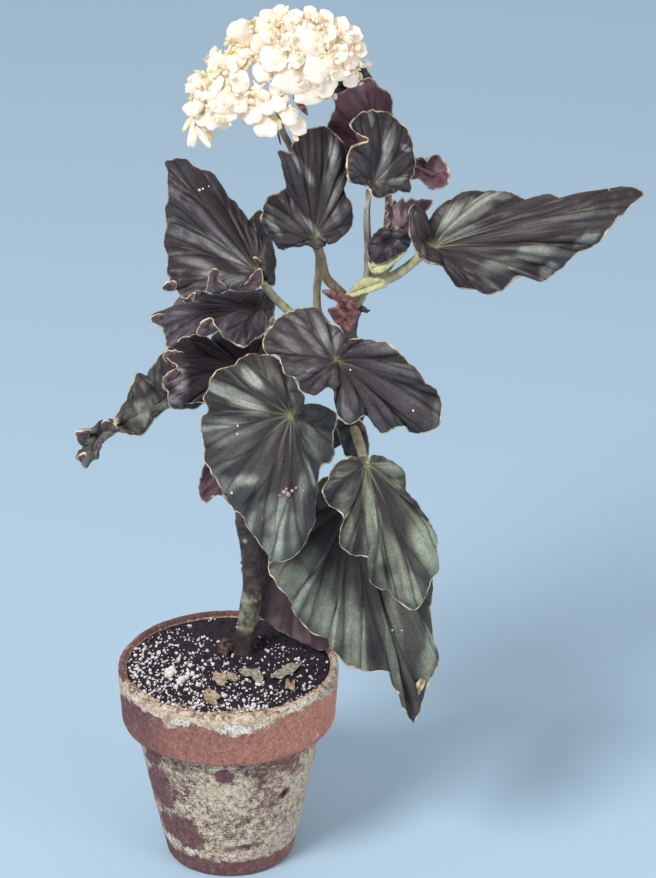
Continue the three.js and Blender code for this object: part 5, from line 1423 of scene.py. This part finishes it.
# scraps on the mix: finish, the solids that each replaces, outline
scraps = {
    "tan_scrap": ("tanScrap", ["dry_scrap_tan"],
                  [(213, 674), (218, 672), (224, 675), (231, 672), (238, 675), (236, 682), (228, 680),
                   (223, 685), (216, 681)]),
    "pale_green_scrap": ("greenScrap", [],
                         [(239, 671), (244, 668), (253, 668), (259, 671), (263, 678), (259, 681), (252, 678),
                          (246, 676)]),
    "grey_green_scrap": ("greenScrap", [],
                         [(270, 677), (276, 671), (284, 667), (293, 663), (302, 661), (297, 668), (288, 674),
                          (279, 678)]),
    "yellow_scrap": ("tanScrap", [],
                     [(204, 697), (206, 691), (212, 690), (217, 692), (221, 696), (216, 699), (218, 704),
                      (210, 704)]),
    "right_scrap": ("tanScrap", [], [(285, 686), (287, 681), (291, 683), (295, 681), (294, 688), (289, 687)]),
}


def flake(outline, seed):
    # a curled flake: middle + share (edge - middle), lifted off the mix by a bowl of share squared
    px, py = smoothPath(np.array(outline, float), 64, closed=True).T
    acrossWave, downWave = 0.7 * cloudOn(px, py, 2.2, seed), 0.6 * cloudOn(px, py, 2.2, seed + 30)
    edge = seenAt(px + acrossWave, py + downWave, soil["crownHeight"] + 0.0009)[::-1]
    middle = edge.mean(0)
    share = np.linspace(0.15, 1, 8)[:, None, None]
    grid = middle + share * (edge - middle)
    lift = 0.0004 + 0.0016 * share[..., 0] ** 2 * (0.55 + 1.1 * cloud(grid, 0.004, seed))
    grid[..., 2] = soilHeight(grid[..., 0], grid[..., 1]) * 0.35 + soil["crownHeight"] * 0.65 + lift
    half = np.array((0, 0, 0.00025))
    top = np.array((*middle[:2], grid[0, :, 2].mean()))
    return ringShell(np.concatenate((grid + half, grid[::-1] - half)), top + half, top - half)


# an old leaf base at the stem's foot, as lumps [px, py, radius in mm]
footLumps = [(221, 649, 2.3), (226, 643, 2.5), (230, 648, 2.4), (225, 652, 2.0)]
balls = []
for k, (px, py, size) in enumerate(footLumps):
    centre = seenAt(px, py, soil["crownHeight"] + 0.8 * size * mm)
    radii = size * mm * np.array((1, 0.8, 1.25))
    balls.append(lump(centre, radii, 130 + 7 * k, rows=16, sides=24))
makePiece("foot_scar", joined(balls), ["foot"])
for number, (name, (stuff, nodes, outline)) in enumerate(scraps.items()):
    makePiece(name, flake(outline, 60 + number), [stuff], nodes)
print("bracts and scraps made")

# the flower head
head = {
    # px, py, depth in mm, radius in mm
    "domes": {"right": (310, 56, -8, 27), "left": (222, 98, -6, 20), "low": (278, 108, -10, 17)},
    "squash": 0.8,  # the domes' depth for their width
    "thickness": 0.0005,
    "threadRadius": 0.00055,
    "backPetals": 3,
    "frills": 9,
    "buds": 5,
    "clean": {"hanging", "low", "left_hanging"},  # drooping petals with hardly any frill
    # the head's upper outline, [px, py]: the frills' small petals start below it, and between these sides
    "outline": [(180, 100), (190, 84), (205, 70), (216, 60), (230, 42), (246, 28), (264, 24), (280, 15),
                (318, 18), (342, 28), (356, 42), (366, 66)],
    "sides": (188, 364),
    "seed": 5,
}
# petals: [px, py, half length, half width in pixels, the tip's turn in degrees from straight down]
sprays = {
    "front": ("right", [(307, 40, 19, 12, 22), (319, 65, 15, 14, 30), (337, 53, 10, 8, 80),
                        (296, 58, 9, 7, -20)]),
    "crown": ("right", [(309, 17, 9, 6, 170), (324, 21, 9, 7, 160), (339, 27, 9, 7, 140),
                        (326, 34, 9, 7, 120), (344, 40, 6, 5, 120)]),
    "right_edge": ("right", [(351, 37, 10, 7, 130), (357, 49, 9, 7, 80), (350, 60, 9, 7, 40),
                             (338, 70, 11, 7, 20), (352, 77, 10, 8, 0)]),
    "peak": ("right", [(281, 16, 9, 6, 185), (289, 23, 10, 8, 150), (270, 22, 11, 8, -140),
                       (296, 18, 7, 5, 170)]),
    "middle": ("right", [(275, 56, 14, 12, -60), (272, 34, 12, 8, -120), (261, 44, 9, 7, -100),
                         (264, 70, 11, 9, -40), (290, 42, 8, 6, 200)]),
    "left_crown": ("right", [(242, 34, 13, 10, -120), (257, 27, 8, 6, 190), (236, 56, 12, 10, -60),
                             (247, 50, 8, 7, -90)]),
    "lower_front": ("right", [(291, 79, 15, 14, 0), (310, 92, 13, 12, 10), (325, 86, 10, 10, 40),
                              (279, 91, 9, 8, -30)]),
    "hanging": ("low", [(290, 115, 10, 7.5, 10), (299, 127, 8, 7, 10), (278, 103, 8, 7, -20)]),
    "low": ("low", [(265.5, 126, 11, 10, -20), (265, 107, 8, 7, -10), (264, 98, 6, 5, 180)]),
    "inner_left": ("low", [(251, 110, 12, 11, -30), (257, 94, 8, 5, 190), (247, 97, 7, 6, -120)]),
    "left_upper": ("left", [(216, 57, 8, 5, 185), (218, 66, 10, 8, 180), (228, 67, 8, 8, 170),
                            (236, 82, 11, 10, 120)]),
    "left_outer": ("left", [(212, 83, 14, 9, -40), (201, 81, 8, 6, -120), (195, 86, 8, 6, -70),
                            (203, 93, 8, 5, -60)]),
    "left_front": ("left", [(222, 100, 13, 12, 0), (226, 113, 9, 9, 20), (213, 118, 11, 8, -20),
                            (238, 102, 10, 8, 50)]),
    "left_hanging": ("left", [(191, 107, 8, 6, -50), (198, 103, 10, 5, -20), (192, 133, 15, 4, -8),
                              (201, 137, 13, 4, 28), (201, 120, 6, 5, 0)]),
}
petalSteps = (0.25, 0.5, 0.72, 0.88, 0.96, 1.0)
smallPetal = {"belly": 0.25, "sides": 8, "steps": (0.45, 0.85, 1.0)}


def petalShell(base, tip, facing, halfWidth, seed, belly=0.11, sides=30, steps=petalSteps):
    # a domed oval with a waved edge: along (length/2) cos t + across width sin t, and out belly (1 - share^2)
    length = np.linalg.norm(tip - base)
    along = (tip - base) / length
    across = unit(np.cross(along, facing))
    out = np.cross(across, along)
    middle = base + 0.55 * (tip - base)
    turn = fullTurn(sides)
    share = np.array(steps)[:, None]
    wave = 1 + 0.06 * np.sin(3 * turn + seed) + 0.05 * np.sin(5 * turn + 2 * seed)
    wave = wave + 0.03 * np.sin(8 * turn + 3 * seed)
    x = share * wave * 0.5 * length * np.cos(turn)
    y = share * wave * halfWidth * np.sin(turn) * (1 + 0.15 * np.cos(turn))
    droop = 0.05 * share**4 * np.cos(turn)
    ripple = 0.03 * share**3 * np.sin(3 * turn + seed)
    sink = 0.1
    lift = length * (belly * (1 - share**2) - droop + ripple - sink)
    grid = middle + x[..., None] * along + y[..., None] * across + lift[..., None] * out
    half = head["thickness"] / 2 * out
    rings = np.concatenate((grid + half, grid[::-1] - half))[:, ::-1]
    top = middle + (belly - sink) * length * out
    return ringShell(rings, top + half, top - half)


def domeDepth(dome, px, py, least):
    # depth in mm of a dome's skin: its middle's, less the squashed height of a ball of its radius there
    cx, cy, depth, radius = dome
    away = math.hypot(px - cx, py - cy) * pixel / mm
    return depth - head["squash"] * math.sqrt(max(radius**2 - away**2, least))


def bigPetal(random, dome, centre, petal):
    # one large petal and the ones behind it, in the darker cream of painted shade, which lean to either side
    px, py, long, wide, turn = petal
    angle = math.radians(turn)
    step = np.array((math.sin(angle) * long, math.cos(angle) * long))
    level = domeDepth(dome, px, py, 9) * mm
    base = sight(px - step[0], py - step[1], level + 0.002)
    tip = sight(px + step[0], py + step[1], level)
    facing = unit(unit((base + tip) / 2 - centre) - ahead + random.normal(0, 0.22, 3))
    halfWidth = 1.2 * wide * pixel
    shells = [petalShell(base, tip, facing, halfWidth, 10 * random.random())]
    side = unit(np.cross(tip - base, facing))
    for k in range(head["backPetals"]):
        lean = (-1, 1, 0)[k] * random.uniform(0.3, 0.7)
        size = random.uniform(0.6, 0.9)
        newBase = base - facing * random.uniform(0.002, 0.004)
        sideways = side * lean * np.linalg.norm(tip - base)
        newTip = newBase + (tip - base + sideways) * size - facing * 0.001
        newFacing = unit(facing - 0.4 * lean * side)
        back = petalShell(newBase, newTip, newFacing, halfWidth * size, 10 * random.random())
        shells.append(inFinish(back, 1))
    return shells, base


def frillPetal(random, dome, centre, petal):
    # a small pointed petal or half-open bud somewhere round a large one
    px, py, long, wide, _ = petal
    angle = random.uniform(0, 2 * np.pi)
    reach = random.uniform(0.7, 1.25)
    fx = np.clip(px + reach * wide * math.cos(angle), *head["sides"])
    fy = py + reach * (0.6 * long + 0.4 * wide) * math.sin(angle)
    fy = max(fy, np.interp(fx, *np.array(head["outline"]).T))
    start = sight(fx, fy, (domeDepth(dome, fx, fy, 4) + random.uniform(0.5, 4.5)) * mm)
    outward = unit(start - centre + random.normal(0, 0.006, 3))
    way = unit(outward + 0.9 * unit(random.normal(size=3)) - 0.4 * ahead)
    length = random.uniform(0.0022, 0.0048)
    facing = unit(np.cross(way, unit(random.normal(size=3))))
    halfWidth = length * random.uniform(0.22, 0.4)
    small = petalShell(start, start + length * way, facing, halfWidth, 10 * random.random(), **smallPetal)
    return inFinish(small, 1 - (random.uniform() > 0.55))


def budShell(random, dome, petals):
    # a bud or a knot of stamens on one of the large petals
    px, py, long, _, _ = petals[random.integers(len(petals))]
    angle, reach = random.uniform(0, 2 * np.pi), random.uniform(0.5, 0.95)
    bx, by = px + long * reach * math.cos(angle), py + long * reach * math.sin(angle)
    spot = sight(bx, by, (domeDepth(dome, bx, by, 9) + random.uniform(1.5, 5)) * mm)
    bud = lump(spot, random.uniform(0.0006, 0.0014), int(random.integers(1000)), rows=5, sides=8)
    return inFinish(bud, 1 + (random.uniform() > 0.6))


def makeFlowers():
    # each spray's petals, frills, buds and threads; what comes back is where each spray's stalk ends
    random = np.random.default_rng(head["seed"])
    hubs = []
    for name, (domeName, petals) in sprays.items():
        dome = head["domes"][domeName]
        centre = alongSight([dome[:3]])[0]
        frills, buds = (1, 1) if name in head["clean"] else (head["frills"], head["buds"])
        shells, bases = [], []
        for petal in petals:
            big, base = bigPetal(random, dome, centre, petal)
            shells += big
            shells += [frillPetal(random, dome, centre, petal) for k in range(frills)]
            bases.append(base)
        shells += [budShell(random, dome, petals) for k in range(buds * len(petals))]
        hub = np.mean(bases, axis=0)
        hub = hub + 0.45 * (centre - hub)
        for base in bases:
            route = smoothPath([hub, (hub + base) / 2 + 0.0006 * ahead, base], 8)
            shells.append(inFinish(tube(route, head["threadRadius"], sides=8), 3))
        finishes = ["petal", "shadePetal", "stamen", "stalk"]
        makePiece("blossom_" + name, joined(shells), finishes, ["flowers_" + name])
        hubs.append((hub, domeName))
    return hubs


branch = {
    "path": [(350, 346, 4), (335, 333, 7), (319, 314, 7), (317, 292, 6), (319, 268, 4), (317, 232, 1),
             (303, 175, 2), (291, 148, 1), (282, 130, -2), (279, 112, -5)],
    "knees": {"right": (296, 72, -6), "left": (240, 92, -6), "low": (274, 104, -9)},
    "radii": (0.0020, 0.0016),
    "armRadii": (0.0014, 0.0011),
    "twigRadii": (0.0010, 0.0008),
    # two dried bracts among the flowers: [px, py at the base, px, py at the tip, depth, half width in mm]
    "dried": [(293, 96, 308, 114, -22, 1.5), (276, 124, 281, 146, -8, 0.45)],
}


def makeFlowerStalk(hubs):
    # tubes along smooth routes: the main stalk, a branch to each dome and one to each spray
    main = smoothPath(alongSight(branch["path"]), 90)
    radius = np.linspace(*branch["radii"], 90)
    shells = [tube(main, radius, sides=16, lumps=0.00015, seed=2, flush=0.35)]
    knees = {name: alongSight([knee])[0] for name, knee in branch["knees"].items()}
    for knee in knees.values():
        route = smoothPath([main[-1], (main[-1] + knee) / 2 + (0, 0, 0.0015), knee], 20)
        radius = np.linspace(*branch["armRadii"], 20)
        shells.append(tube(route, radius, lumps=0.0001, lumpSize=0.003, seed=3, flush=0.3))
    for hub, domeName in hubs:
        knee = knees[domeName]
        route = smoothPath([knee, (knee + hub) / 2 + (0, 0, 0.001), hub], 14)
        shells.append(tube(route, np.linspace(*branch["twigRadii"], 14), sides=10, flush=0.1))
    for px, py, tipX, tipY, depth, halfWidth in branch["dried"]:
        base, tip = alongSight([(px, py, depth), (tipX, tipY, depth)])
        shells.append(inFinish(petalShell(base, tip, -ahead, halfWidth * mm, tipX, sides=16), 1))
    makePiece("branched_flower_stalk", joined(shells), ["stalk", "bract"], ["flower_stalk"])


makeFlowerStalk(makeFlowers())
print("flowers made")

# floor, light and camera
stageLook = {
    "floor": "#b4d0e6",
    "floorReach": 6,
    "sky": "#e6e8ec",
    "skyStrength": 0.66,
    "lampColour": (1.0, 0.975, 0.94),
    # place, size, power
    "lamps": {"key": ((-0.9, -1.3, 1.9), 0.8, 40.0), "fill": ((1.3, -1.2, 0.9), 1.0, 7.0)},
    "aim": (0.05, 0, 0.22),
    "sensor": 36,
}


def makeStage():
    mesh = bpy.data.meshes.new("floor")
    r = stageLook["floorReach"]
    mesh.from_pydata([(-r, -r, 0), (r, -r, 0), (r, r, 0), (-r, r, 0)], [], [(0, 1, 2, 3)])
    floor = addObject("floor", mesh)
    paper = newFinish("plain pale paper", {"Base Color": linear(stageLook["floor"]), "Roughness": 0.9})[0]
    mesh.materials.append(paper)
    world = bpy.data.worlds.new("studio")
    world.use_nodes = True
    background = world.node_tree.nodes["Background"]
    background.inputs["Color"].default_value = linear(stageLook["sky"])
    background.inputs["Strength"].default_value = stageLook["skyStrength"]
    bpy.context.scene.world = world
    for name, (place, size, power) in stageLook["lamps"].items():
        lamp = bpy.data.lights.new(name, "AREA")
        lamp.shape, lamp.size, lamp.energy, lamp.color = "DISK", size, power, stageLook["lampColour"]
        light = addObject(name, lamp)
        light.location = place
        away = np.array(place) - stageLook["aim"]
        turn = math.atan2(away[1], away[0]) + math.pi / 2
        light.rotation_euler = (math.acos(away[2] / np.linalg.norm(away)), 0, turn)
    camera = addObject("camera", bpy.data.cameras.new("camera"))
    camera.location = eye
    camera.rotation_euler = (math.pi / 2 - picture["pitch"], 0, 0)
    camera.data.sensor_width = stageLook["sensor"]
    camera.data.lens = stageLook["sensor"] * picture["focal"] / picture["height"]
    camera.data.clip_start, camera.data.clip_end = 0.05, 50
    bpy.context.scene.camera = camera
    bpy.context.scene.view_settings.view_transform = "Standard"


makeStage()
print("scene ready")
